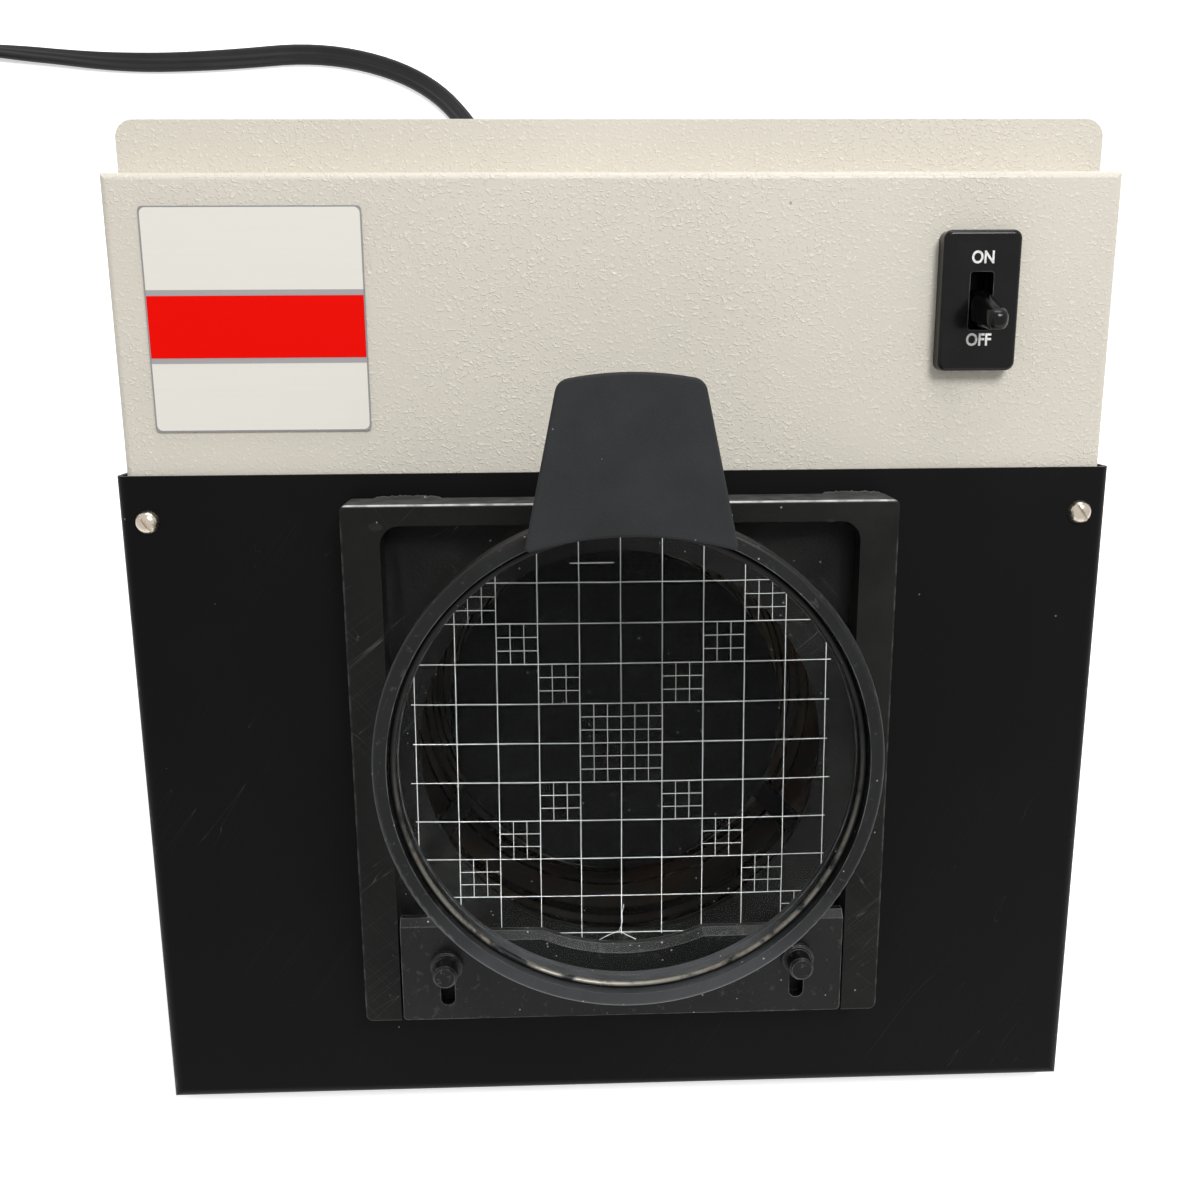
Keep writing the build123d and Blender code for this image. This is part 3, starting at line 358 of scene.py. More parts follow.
def satin_black(name, base, dust_share=0.16, gloss=0.36, rubbed=0.0, sheen=0.25, pale=None):
    """Sprayed black of the magnifier, with dust and a little rubbing; where it is rubbed, its edges are
    painted pale, partly wear and partly painted highlight.

    pale gives a place up the slope and outward; what lies below and outside it is painted paler as a
    painted sheen.
    """
    f = Finish(name)
    slope = f.slope_place()
    bloom = f.noise(60, 3, 0.55)
    tone = f.mix(f.between(bloom, 0.35, 0.7), shade(0.8, base), shade(1.4, base))
    if rubbed:
        worn = f.patches(420, 4, 0.6, 0.66, roughness=0.7)
        tone = f.mix(f.times(worn, rubbed), tone, display(128, 128, 126))
        # pale along the edges, in patches: partly rubbed wear, partly painted highlight
        edge_wear_and_highlight = f.times(f.edges(0.0004), f.patches(190, 3, 0.36, 0.6, 0.15, 0.8))
        tone = f.mix(edge_wear_and_highlight, tone, display(132, 132, 130))
    if pale:
        up, out = f.parts(slope)[1:]
        below = f.between(up, pale[0] - 0.016, pale[0], 1.0, 0.0)
        outside = f.between(out, pale[1], pale[1] + 0.003)
        streaks = f.patches(38, 3, 0.3, 0.7, 0.4, 1.0, roughness=0.6)
        # paler below and outside that place: painted sheen
        painted_sheen = f.times(below, outside, streaks)
        tone = f.mix(painted_sheen, tone, display(66, 67, 69))
    tone = f.flecked(tone, 420, 0.1, dust_share, 0.6, display(190, 190, 186))
    marks = f.scratches(30, 0.4, slope, 0.996)
    tone = f.mix(f.times(marks, 0.12), tone, display(150, 150, 150))
    rough = f.between(bloom, 0.3, 0.7, gloss, gloss + 0.12)
    f.surface(tone, rough, f.bump(f.noise(1900, 2), 0.00005, 0.7), Specular_IOR_Level=sheen)
    return f.material


def grained_plastic(name, base):
    """Matte plastic with a fine cast grain."""
    f = Finish(name)
    patches = f.noise(70, 4, 0.6)
    tone = f.mix(f.between(patches, 0.35, 0.68), shade(0.84, base), shade(1.16, base))
    fine = f.noise(2600, 3, 0.6)
    tone = f.mix(f.times(f.between(fine, 0.5, 0.7), 0.3), tone, shade(1.5, base))
    tone = f.flecked(tone, 300, 0.06, 0.12, 0.4, display(170, 170, 168))
    f.surface(tone, 0.62, f.bump(fine, 0.00009, 0.8), Specular_IOR_Level=0.18)
    return f.material


def gloss_plastic(name, base):
    """Polished black moulding with a few dust flecks and painted glints along its edges."""
    f = Finish(name)
    cloud = f.noise(120, 3, 0.6)
    tone = f.mix(f.between(cloud, 0.45, 0.75), base, shade(2.2, base))
    tone = f.flecked(tone, 520, 0.08, 0.12, 0.55, display(170, 172, 174))
    # pale along the edges, in patches: painted glints
    glint = f.times(f.edges(0.0004), f.patches(260, 3, 0.4, 0.6, 0.2, 0.8))
    tone = f.mix(glint, tone, display(112, 114, 114))
    f.surface(tone, f.between(cloud, 0.3, 0.7, 0.12, 0.22), f.bump(f.noise(500, 1), 0.00004, 0.35),
              Specular_IOR_Level=0.22)
    return f.material


def bare_metal(name, base, roughness, brushed=0.0, tarnish=0.2):
    """Plated or spun metal, with fine lines if it is brushed."""
    f = Finish(name)
    spots = f.patches(700, 4, 0.55, 0.7, roughness=0.6)
    tone = f.mix(f.times(spots, tarnish), base, shade(0.35, base))
    height = f.noise(1500, 2)
    if brushed:
        lines = f.noise(900, 2, 0.6, f.stretched(f.slope_place(), 0.04, 1.0, 1.0))
        tone = f.mix(f.times(lines, 0.3), tone, shade(0.6, base))
        height = lines
    rough = f.between(spots, 0.0, 1.0, roughness, roughness + 0.2)
    f.surface(tone, rough, f.bump(height, 0.00004, 0.4 + brushed), Metallic=1.0)
    return f.material


def worn_wire(name, metal, paint, middle, radius, lean):
    """A spring wire whose black paint is rubbed off along its inner side, most at the bottom; the
    fading of the bare metal towards the top is painted shade.
    """
    f = Finish(name)
    offset = f.slope_from(middle)
    up = f.parts(offset)["Y"]
    # fewer bare spots towards the top: painted shade
    lower = f.between(up, -0.75 * radius, 0.1 * radius, 0.7, 0.04)
    from_middle = f.length_of(f.stretched(offset, 1, 1 / math.cos(lean / (2 * radius)), 0))
    inner = f.between(from_middle, radius - 0.0012, radius - 0.0008, 1.0, 0.0)
    gaps = f.patches(120, 4, 0.4, 0.52, roughness=0.65)
    bare = f.times(inner, gaps, lower)
    tone = f.mix(bare, shade(1.2, paint), metal)
    rust = f.patches(150, 3, 0.55, 0.65, 0.0, 0.6)
    tone = f.mix(f.times(rust, bare), tone, display(118, 92, 70))
    tone = f.flecked(tone, 700, 0.1, 0.14, 0.5, display(170, 168, 164))
    f.surface(tone, f.between(bare, 0.0, 1.0, 0.42, 0.3), f.bump(f.noise(900, 2), 0.00005, 0.6),
              Metallic=bare, Specular_IOR_Level=0.2)
    return f.material


def spun_bowl(name, base, middle):
    """Spun aluminium with rings about the bowl's axis."""
    f = Finish(name)
    radius = f.length_of(f.stretched(f.slope_from(middle), 1, 1, 0))
    rings = f.add("ShaderNodeTexNoise", {"W": radius, "Scale": 900.0, "Detail": 3.0},
                  noise_dimensions="1D").outputs["Fac"]
    tone = f.mix(f.between(rings, 0.35, 0.65), shade(0.6, base), base)
    # warm brown patches: painted reflection of warm glints inside the bowl
    warm_glint_patches = f.patches(38, 3, 0.48, 0.62)
    tone = f.mix(f.times(warm_glint_patches, 0.6), tone, display(128, 92, 62))
    f.surface(tone, f.between(rings, 0.3, 0.7, 0.22, 0.38), f.bump(rings, 0.00008, 0.5), Metallic=1.0)
    return f.material


def clear_glass(name, tint, ior, dust_share, marks=0.0):
    """Clear glass that lets light through to what lies under it, with dust on its faces."""
    f = Finish(name)
    glass = f.add("ShaderNodeBsdfPrincipled", {
        "Base Color": (*tint, 1), "Roughness": 0.0, "IOR": ior, "Transmission Weight": 1.0,
        "Specular Tint": (0.03, 0.03, 0.03, 1)})
    open_air = f.add("ShaderNodeBsdfTransparent", {"Color": (*shade(0.94, tint), 1)})
    rays = f.add("ShaderNodeLightPath")
    lit = f.add("ShaderNodeMixShader", {
        0: rays.outputs["Is Shadow Ray"], 1: glass.outputs[0], 2: open_air.outputs[0]})
    film = f.add("ShaderNodeBsdfDiffuse", {"Color": (*display(190, 196, 196), 1)})
    dust = f.specks(430, 0.07, dust_share)
    if marks:
        web = f.scratches(22, 1.1, f.slope_place(), 0.9975)
        dust = f.math("MAXIMUM", dust, f.times(web, marks))
    dust_and_painted_sheen = f.add("ShaderNodeMixShader", {
        0: f.times(dust, 0.55), 1: lit.outputs[0], 2: film.outputs[0]})
    f.finish(dust_and_painted_sheen.outputs[0])
    return f.material


def printed(name, base, gloss=0.35, grain=0.0):
    """Screen-printed paint with a little of the metal's grain under it."""
    f = Finish(name)
    lines = f.noise(900, 2, 0.6, f.stretched(f.slope_place(), 0.03, 1.0, 1.0))
    tone = f.mix(f.times(f.between(lines, 0.4, 0.7), 0.06 + grain), base, shade(0.8, base))
    tone = f.flecked(tone, 260, 0.05, 0.1, 0.3, display(150, 146, 140))
    f.surface(tone, f.between(lines, 0.3, 0.7, gloss, gloss + 0.1), f.bump(lines, 0.00003, 0.3 + grain),
              Specular_IOR_Level=0.08)
    return f.material


def ruled_line(name, base, middle=None, radius=0.05):
    """Etched line with a filling, and a faint glow that is painted light; around a middle, where it is
    given, the filling is painted darker as painted shade.
    """
    f = Finish(name)
    breaks = f.noise(1400, 2)
    tone = f.mix(f.between(breaks, 0.35, 0.6), shade(0.72, base), base)
    if middle is not None:
        away = f.length_of(f.slope_from(middle))
        # darker near the middle: painted shade, with random patches
        painted_light_away_from_middle = f.math("ADD", f.between(away, 0.2 * radius, 0.9 * radius, 0.0, 0.9),
                        f.patches(60, 3, 0.4, 0.6, 0.0, 0.25))
        tone = f.mix(painted_light_away_from_middle, shade(0.3, base), tone)
    shader = f.surface(tone, f.between(breaks, 0.3, 0.7, 0.5, 0.7))
    # a faint glow: painted light
    shader.inputs["Emission Color"].default_value = (*base[:3], 1)
    shader.inputs["Emission Strength"].default_value = 0.06
    return f.material


def soft_rubber(name, base):
    """Rubber or cord jacket, matte with fine lines and pale dust."""
    f = Finish(name)
    cloud = f.noise(55, 3, 0.6)
    tone = f.mix(f.between(cloud, 0.35, 0.7), shade(0.8, base), shade(1.7, base))
    tone = f.flecked(tone, 600, 0.09, 0.1, 0.35, display(140, 140, 136))
    f.surface(tone, f.between(cloud, 0.3, 0.7, 0.38, 0.52), f.bump(f.noise(1700, 2), 0.00005, 0.6),
              Specular_IOR_Level=0.3)
    return f.material


# ---------------------------------------------------------------- mesh pieces
def linked(name, data):
    """An object in the scene for a mesh, curve, light or camera."""
    made = bpy.data.objects.new(name, data)
    bpy.context.scene.collection.objects.link(made)
    return made


def finished_mesh(name, mesh):
    made = bpy.data.meshes.new(name)
    mesh.to_mesh(made)
    mesh.free()
    return made


def mesh_of_curve(curve):
    """The mesh that a curve or a word shows."""
    holder = linked(curve.name, curve)
    bpy.context.view_layer.update()
    mesh = bpy.data.meshes.new_from_object(
        holder.evaluated_get(bpy.context.evaluated_depsgraph_get()))
    bpy.data.objects.remove(holder)
    return mesh


def piece(name, mesh, finishes, body, smooth=False):
    """A mesh object that rides on a CAD body and takes the finishes that it is given."""
    if isinstance(mesh, bmesh.types.BMesh):
        mesh = finished_mesh(name, mesh)
    made = linked(name, mesh)
    for finish in finishes:
        mesh.materials.append(finish)
    for face in mesh.polygons:
        face.use_smooth = smooth
    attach(made, body)
    return made


def dress(names, finish):
    """A CAD node keeps its shape and takes a finish."""
    for name in names:
        shown = frame["nodes"][name]
        shown.data.materials.clear()
        shown.data.materials.append(finish)


def skin(mesh, rings):
    """The faces between each ring of points and the next."""
    count = len(rings[0])
    return [mesh.faces.new((first[i], first[(i + 1) % count], second[(i + 1) % count], second[i]))
            for first, second in zip(rings, rings[1:]) for i in range(count)]


def caps(mesh, rings):
    """The faces that close the first and the last ring."""
    return [mesh.faces.new(rings[0][::-1]), mesh.faces.new(rings[-1])]


def slab(mesh, outline, low, high, finish=0):
    """A closed prism on the slope: outline is (across, up) in turn, from low to high outward."""
    rings = []
    for out in (low, high):
        rings.append([mesh.verts.new(SLOPE @ Vector((x, up, out))) for x, up in outline])
    for face in caps(mesh, rings) + skin(mesh, rings):
        face.material_index = finish


def rectangle(left, right, low, high):
    return [(left, low), (right, low), (right, high), (left, high)]


def rounded_outline(left, right, low, high, radius, steps=6):
    corners = [(right - radius, high - radius, 0), (left + radius, high - radius, 90),
               (left + radius, low + radius, 180), (right - radius, low + radius, 270)]
    outline = []
    for x, up, start in corners:
        for i in range(steps + 1):
            turn = math.radians(start + 90 * i / steps)
            outline.append((x + radius * math.cos(turn), up + radius * math.sin(turn)))
    return outline


def patch_outline(x, up, width, height, seed, points=11):
    """A ragged closed outline for a chip or a fleck."""
    pick = random.Random(seed)
    outline = []
    for i in range(points):
        turn = 2 * math.pi * i / points
        reach = 0.5 * pick.uniform(0.62, 1.0)
        outline.append((x + width * reach * math.cos(turn), up + height * reach * math.sin(turn)))
    return outline


# ---------------------------------------------------------------- operators
class CounterStep(bpy.types.Operator):
    """Shared by every step of the counter."""
    bl_options = {"REGISTER"}

    @property
    def finish(self):
        return bpy.context.scene.counter_finish

    @property
    def sizes(self):
        return bpy.context.scene.counter_sizes


class COUNTER_OT_housing(CounterStep):
    """Paint the folded housing and what closes it at the back and below"""
    bl_idname = "counter.housing"
    bl_label = "Housing"

    def execute(self, context):
        putty = textured_enamel("putty_enamel", self.finish.putty)
        dress(["body_shell", "rear_cover"], putty)
        dress(["base_plate"], satin_black("base_black", self.finish.cover, 0.05, 0.5))
        dress(["rubber_feet"], soft_rubber("foot_rubber", self.finish.cord))
        return {"FINISHED"}


class COUNTER_OT_front_cover(CounterStep):
    """Paint the black cover that wraps the sloping front"""
    bl_idname = "counter.front_cover"
    bl_label = "Front cover"

    def execute(self, context):
        low, high = slope_box("front_cover")
        paint = black_enamel("black_enamel", self.finish.cover, high.x, low.y)
        dress(["front_cover"], paint)
        return {"FINISHED"}


class COUNTER_OT_fasteners(CounterStep):
    """Plate the screws"""
    bl_idname = "counter.fasteners"
    bl_label = "Screws"

    def execute(self, context):
        nickel = bare_metal("screw_nickel", display(196, 186, 172), 0.22, 0.0, 0.35)
        dress(["cover_screws", "rear_screws", "foot_screws", "stage_screws"], nickel)
        return {"FINISHED"}


class COUNTER_OT_nameplate(CounterStep):
    """Print the bare fields, the band and the lines of the nameplate"""
    bl_idname = "counter.nameplate"
    bl_label = "Nameplate"

    border = 0.00035
    corner = 0.0014
    print_thickness = 0.00005
    line_top = 0.0197       # from the plate's top edge
    band_top = 0.0211
    band_bottom = 0.0361
    line_bottom = 0.0374

    def execute(self, context):
        low, high = slope_box("nameplate")
        metal = bare_metal("plate_metal", display(150, 150, 150), 0.35, 0.5, 0.1)
        dress(["nameplate"], metal)
        white = printed("plate_white", self.finish.plate_white, 0.3)
        silver = printed("plate_silver", self.finish.plate_line, 0.3, 0.1)
        red = printed("plate_red", self.finish.plate_red, 0.3)
        left, right = low.x + self.border, high.x - self.border
        top, bottom = high.y - self.border, low.y + self.border
        raised = high.z + self.print_thickness
        mesh = bmesh.new()
        slab(mesh, rounded_outline(left, right, bottom, top, self.corner), high.z, raised)
        for band_top, band_bottom, finish in ((self.line_top, self.line_bottom, 1),
                                              (self.band_top, self.band_bottom, 2)):
            level = raised + finish * self.print_thickness
            slab(mesh, rectangle(left, right, high.y - band_bottom, high.y - band_top),
                 raised - self.print_thickness / 2, level, finish)
        piece("nameplate_print", mesh, [white, silver, red], "root")
        return {"FINISHED"}


class COUNTER_OT_switch(CounterStep):
    """Finish the toggle switch and paint its two marks"""
    bl_idname = "counter.switch"
    bl_label = "Switch"

    mark_thickness = 0.00005
    mark_bolder = 0.00010
    size_per_height = 1.42  # of the font, for its capitals
    condensed = 0.88
    on_up = 0.0103          # middle of each mark from the slot's middle
    off_up = -0.0095

    # share of the lever's length, half width across, half depth along the slope
    lever_sections = ((0.0, 2.4, 3.0), (0.16, 2.6, 3.8), (0.34, 2.6, 4.3), (0.48, 2.55, 4.1),
                      (0.62, 2.45, 3.5), (0.76, 2.4, 3.0), (0.88, 2.45, 2.7), (0.95, 2.25, 2.3),
                      (0.985, 1.6, 1.6), (1.0, 0.7, 0.7))
    lever_sides = 24
    squareness = 0.7        # 1 is an ellipse
    tip_depth = 0.0008      # the lever's points within this of its top make its tip

    def toggle(self, finish):
        """A moulded bat lever that fills its slot at the root."""
        places = [v.co for v in frame["nodes"]["toggle_lever"].data.vertices]
        top = max(OUTWARD.dot(p) for p in places)
        tip = [p for p in places if OUTWARD.dot(p) > top - self.tip_depth]
        tip = sum(tip, Vector()) / len(tip)
        hinge = next(j for j in frame["record"]["behaviour"]["joints"] if j["child"] == "toggle")
        pivot = Vector(hinge["pos_m"])
        along = (tip - pivot).normalized()
        reach = max((p - pivot).dot(along) for p in places)
        depth = along.cross(ACROSS).normalized()
        mesh = bmesh.new()
        loops = []
        for share, wide, deep in self.lever_sections:
            loop = []
            for i in range(self.lever_sides):
                turn = 2 * math.pi * i / self.lever_sides
                x, y = (math.copysign(abs(way) ** self.squareness, way)
                        for way in (math.cos(turn), math.sin(turn)))
                loop.append(mesh.verts.new(pivot + along * reach * share
                                           + ACROSS * x * wide / 1000 + depth * y * deep / 1000))
            loops.append(loop)
        skin(mesh, loops)
        caps(mesh, loops)
        bmesh.ops.recalc_face_normals(mesh, faces=mesh.faces)
        lever = piece("toggle_bat", mesh, [finish], "toggle", smooth=True)
        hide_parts("toggle_lever")

    def mark(self, word, up, low, high):
        words = bpy.data.curves.new(f"switch_{word.lower()}", "FONT")
        words.body = word
        words.size = self.sizes.letter_height * self.size_per_height
        words.align_x = words.align_y = "CENTER"
        words.extrude = self.mark_thickness
        words.offset = self.mark_bolder
        mesh = mesh_of_curve(words)
        middle = Vector(((low.x + high.x) / 2, (low.y + high.y) / 2 + up, high.z))
        mesh.transform(SLOPE @ Matrix.Translation(middle) @ Matrix.Diagonal((self.condensed, 1, 1, 1)))
        return mesh

    def execute(self, context):
        low, high = slope_box("switch_bezel")
        gloss = gloss_plastic("switch_gloss", self.finish.bezel)
        dress(["switch_bezel"], gloss)
        self.toggle(gloss)
        dress(["switch_body"], satin_black("switch_moulding", self.finish.bezel))
        paint = ruled_line("switch_letters", self.finish.letters)
        for word, up in (("ON", self.on_up), ("OFF", self.off_up)):
            piece(f"switch_mark_{word.lower()}", self.mark(word, up, low, high), [paint],
                  "root")
        return {"FINISHED"}


class COUNTER_OT_dish_stage(CounterStep):
    """Finish the moulded stage and its marks of use"""
    bl_idname = "counter.dish_stage"
    bl_label = "Dish stage"

    # left end, right end and seed of each stretch of cement
    cement = ((-0.0625, -0.0455, 3), (0.0525, 0.0675, 8))
    cement_steps = 26
    cement_width = (0.0004, 0.0008)
    cement_height = 0.0006      # above the cover
    cement_lap = 0.0002         # under the stage's edge
    # across, down from the stage's top, width, height and seed of each pit
    pits = ((-0.0610, 0.0056, 0.0042, 0.0022, 5), (0.0524, 0.0052, 0.0026, 0.0012, 9),
            (0.0478, 0.0205, 0.0021, 0.0007, 2))

    def execute(self, context):
        low, high = slope_box("stage_plate")
        dress(["stage_plate"], moulded_stage("stage_moulding", self.finish.stage, low, high))
        self.glue_lines(low, high)
        self.chips(low, high)
        return {"FINISHED"}

    def glue_lines(self, low, high):
        """Two stretches of dried cement along the stage's upper edge."""
        glue = satin_black("dried_cement", display(74, 74, 73), 0.5, 0.3, 0.3)
        cover_out = slope_box("front_cover")[1].z
        mesh = bmesh.new()
        for start, end, seed in self.cement:
            pick = random.Random(seed)
            upper = []
            for i in range(self.cement_steps + 1):
                share = i / self.cement_steps
                swell = max(0.0, math.sin(math.pi * share)) ** 0.3
                upper.append((start + (end - start) * share,
                              high.y + 0.0001 + pick.uniform(*self.cement_width) * swell))
            lower = [(end, high.y - self.cement_lap), (start, high.y - self.cement_lap)]
            slab(mesh, upper[::-1] + lower[::-1], cover_out - 0.0001, cover_out + self.cement_height)
        piece("stage_cement", mesh, [glue], "root")

    def chips(self, low, high):
        """Dark spots where the surface is broken."""
        dark = satin_black("stage_pits", display(16, 16, 16), 0.02, 0.5)
        mesh = bmesh.new()
        for x, down, width, height, seed in self.pits:
            slab(mesh, patch_outline(x, high.y - down, width, height, seed),
                 high.z - 0.00002, high.z + 0.00003)
        piece("stage_chips", mesh, [dark], "root")


class COUNTER_OT_guide_plate(CounterStep):
    """Rule the guide plate in centimetre squares"""
    bl_idname = "counter.guide_plate"
    bl_label = "Guide plate"

    line_thickness = 0.00006
    line_sink = 0.00001
    waver = 0.00004                 # sideways, of a line's points
    wider = (0.86, 1.12)            # share of its width
    waver_step = 0.006
    end_scatter = 0.0006
    margin = 0.0010
    line_end = 0.0510               # how far the longest lines run from the middle
    upper_reach = 0.0562            # lines end on this circle in the upper half
    lower_reach = 0.0612            # and on this one in the lower half
    partial_end = 0.0466            # the last squares of the diagonals are ruled to here
    last_upper = 3
    last_lower = 4
    chip = ((-0.0056, -0.0520), (-0.0030, -0.0506), (-0.0006, -0.0496), (0.0012, -0.0508),
            (0.0036, -0.0520))
    crack = ((-0.0006, -0.0496), (0.0002, -0.0472), (0.0001, -0.0446), (0.0006, -0.0424))
    top_line = (-0.0121, -0.0016)   # the last line up the slope is only a short one
    top_line_up = 0.0447
    aperture_from_top = 0.0580      # middle of the ruling from the glass's upper edge

    def execute(self, context):
        low, high = slope_box("guide_plate")
        dress(["guide_plate"], clear_glass("guide_glass", (0.97, 0.985, 0.98), 1.5, 0.05))
        self.pick = random.Random(41)
        middle = Vector(((low.x + high.x) / 2, high.y - self.aperture_from_top, high.z))
        paint = ruled_line("ruling_white", self.finish.ruling, middle + Vector((0, 0.012, 0)),
                           self.line_end)
        side = self.sizes.square
        mesh = bmesh.new()
        count = self.sizes.ruling_squares
        for i in range(-count, count + 1):
            place = i * side
            reach_up = self.reach(abs(place), self.upper_reach)
            reach_down = self.reach(abs(place), self.lower_reach)
            bottom = max(middle.y - reach_down, low.y + self.margin)
            self.line(mesh, (middle.x + place, bottom), (middle.x + place, middle.y + reach_up),
                      high.z, self.sizes.ruling_line)
            sideways = self.reach(abs(place), self.upper_reach if i > 0 else self.lower_reach)
            left, right = self.top_line if i == count else (-sideways, sideways)
            level = middle.y + (self.top_line_up if i == count else place)
            self.line(mesh, (middle.x + left, level), (middle.x + right, level), high.z,
                      self.sizes.ruling_line)
        for column in range(-count, count):
            for row in range(-count, count):
                if self.divided(column, row):
                    self.thirds(mesh, middle, column, row, high.z)
        for marks in (self.chip, self.crack):
            for (x, up), (next_x, next_up) in zip(marks, marks[1:]):
                self.line(mesh, (middle.x + x, middle.y + up), (middle.x + next_x, middle.y + next_up),
                          high.z, self.sizes.ruling_fine)
        piece("guide_ruling", mesh, [paint], "root")
        return {"FINISHED"}

    def reach(self, off_middle, radius):
        """How far a ruled line runs from the middle of the plate."""
        return min(self.line_end, math.sqrt(radius ** 2 - off_middle ** 2)) + self.pick.uniform(
            -self.end_scatter, self.end_scatter)

    def thirds(self, mesh, middle, column, row, face):
        """Rule one square in nine."""
        side = self.sizes.square
        x, up = middle.x + column * side, middle.y + row * side
        bottom = max(up, middle.y - self.partial_end) if row < 0 else up
        left = max(x, middle.x - self.partial_end)
        right = min(x + side, middle.x + self.partial_end)
        for third in (1, 2):
            step = side * third / 3
            if left < x + step < right:
                self.line(mesh, (x + step, bottom), (x + step, up + side), face,
                          self.sizes.ruling_fine)
            if bottom < up + step:
                self.line(mesh, (left, up + step), (right, up + step), face,
                          self.sizes.ruling_fine)

    def divided(self, column, row):
        """Squares that are ruled in nine: four at the middle and those on both diagonals."""
        across = column if column >= 0 else -column - 1
        along = row if row >= 0 else -row - 1
        last = self.last_upper if row > 0 else self.last_lower
        return across == along and across <= last

    def line(self, mesh, start, end, face, width):
        """A ruled line whose width wavers a little, as a hand-guided tool leaves it."""
        start, end = Vector(start), Vector(end)
        way = end - start
        across = Vector((-way.y, way.x)).normalized()
        steps = max(2, int(way.length / self.waver_step))
        sides = ([], [])
        for i in range(steps + 1):
            waver = across * self.pick.uniform(-self.waver, self.waver)
            half = across * width / 2 * self.pick.uniform(*self.wider)
            place = start + way * i / steps + waver
            sides[0].append(tuple(place - half))
            sides[1].append(tuple(place + half))
        slab(mesh, sides[0] + sides[1][::-1], face - self.line_sink, face + self.line_thickness)


class COUNTER_OT_magnifier(CounterStep):
    """Finish the magnifier: ring, riser, foot, lens, wire and thumbscrews"""
    bl_idname = "counter.magnifier"
    bl_label = "Magnifier"

    foot_above_stage = 0.0015   # the riser and ring stand clear of the foot's face
    painted_sheen_down = 0.030          # from the ring's middle to where the painted sheen starts
    curve_radius = 0.517        # of both faces of the lens
    edge_thickness = 0.0024
    rings = 24
    sides = 128

    def execute(self, context):
        low, high = slope_box("snap_ring")
        middle = (low + high) / 2
        face = slope_box("stage_plate")[1].z + self.foot_above_stage
        # the riser and the lower ring are painted paler: painted sheen
        satin = satin_black("magnifier_satin", self.finish.magnifier, 0.3, 0.3, 0.12,
                            pale=(middle.y - self.painted_sheen_down, face))
        dress(["magnifier_frame"], satin)
        self.lens()
        dress(["snap_ring"], worn_wire("wire_nickel", display(140, 136, 128), self.finish.magnifier,
                                       middle, (high.x - low.x) / 2, high.z - low.z))
        knob = satin_black("thumbscrew_black", shade(0.8, self.finish.magnifier), 0.2, 0.3, 0.3)
        dress(["thumbscrew_left", "thumbscrew_right"], knob)
        return {"FINISHED"}

    def lens(self):
        """A biconvex lens turned about the axis of its ring."""
        places = [v.co for v in frame["nodes"]["magnifier_lens"].data.vertices]
        middle = sum(places, Vector()) / len(places)
        radius = max((p - middle).x for p in places)
        rim = [p for p in places if (p - middle).length > radius * 0.995]
        upper = max(rim, key=lambda p: (p - middle).dot(UP_SLOPE) + 4 * (p - middle).dot(OUTWARD))
        lower = max(rim, key=lambda p: -(p - middle).dot(UP_SLOPE) + 4 * (p - middle).dot(OUTWARD))
        along = (upper - lower).normalized()
        axis = ACROSS.cross(along).normalized()
        turned = Matrix((ACROSS, along, axis)).transposed().to_4x4()
        sag_edge = self.curve_radius - math.sqrt(self.curve_radius ** 2 - radius ** 2)
        mesh = bmesh.new()
        loops = []
        for face in (1, -1):
            steps = range(1, self.rings + 1) if face == 1 else range(self.rings, 0, -1)
            for i in steps:
                r = radius * i / self.rings
                sag = self.curve_radius - math.sqrt(self.curve_radius ** 2 - r ** 2)
                height = face * (self.edge_thickness / 2 + sag_edge - sag)
                turns = [2 * math.pi * k / self.sides for k in range(self.sides)]
                loops.append([mesh.verts.new((r * math.cos(turn), r * math.sin(turn), height))
                              for turn in turns])
        skin(mesh, loops)
        for loop, height in ((loops[0], 1), (loops[-1], -1)):
            tip = mesh.verts.new(Vector((0, 0, height * (self.edge_thickness / 2 + sag_edge))))
            for k in range(self.sides):
                mesh.faces.new((loop[k], loop[(k + 1) % self.sides], tip))
        bmesh.ops.recalc_face_normals(mesh, faces=mesh.faces)
        mesh.transform(Matrix.Translation(middle) @ turned)
        glass = clear_glass("lens_glass", (0.99, 0.995, 0.99), 1.5, 0.08, 0.2)
        made = piece("ground_lens", mesh, [glass], "magnifier", smooth=True)
        for edge in made.data.edges:
            ends = [made.data.vertices[v].co - middle for v in edge.vertices]
            edge.use_edge_sharp = all((e - axis * e.dot(axis)).length > radius * 0.999 for e in ends)
        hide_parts("magnifier_lens")


class COUNTER_OT_shade_tab(CounterStep):
    """Finish the tab that shades the lens"""
    bl_idname = "counter.shade_tab"
    bl_label = "Shade tab"

    def execute(self, context):
        dress(["shade_tab"], grained_plastic("tab_plastic", self.finish.tab))
        return {"FINISHED"}


class COUNTER_OT_lamp(CounterStep):
    """Finish the lamp, its bowl, the dark-field stop and the wiring"""
    bl_idname = "counter.lamp"
    bl_label = "Lamp"

    def execute(self, context):
        low, high = slope_box("reflector")
        dress(["reflector"], spun_bowl("spun_aluminium", display(124, 119, 112), (low + high) / 2))
        dress(["dark_field_stop"], satin_black("stop_black", display(7, 7, 7), 0.01, 0.6, sheen=0.02))
        dress(["lamp_socket"], satin_black("socket_brown", display(74, 46, 30), 0.05, 0.3))
        dress(["lamp_bulb"], clear_glass("bulb_glass", (0.96, 0.96, 0.95), 1.45, 0.05))
        dress(["lamp_bracket"], bare_metal("bracket_steel", display(170, 170, 168), 0.3, 0.3, 0.2))
        dress(["terminal_block"], grained_plastic("block_plastic", display(60, 42, 30)))
        dress(["internal_leads"], soft_rubber("lead_insulation", display(70, 62, 52)))
        return {"FINISHED"}


def eased(share):
    return share * share * (3 - 2 * share)


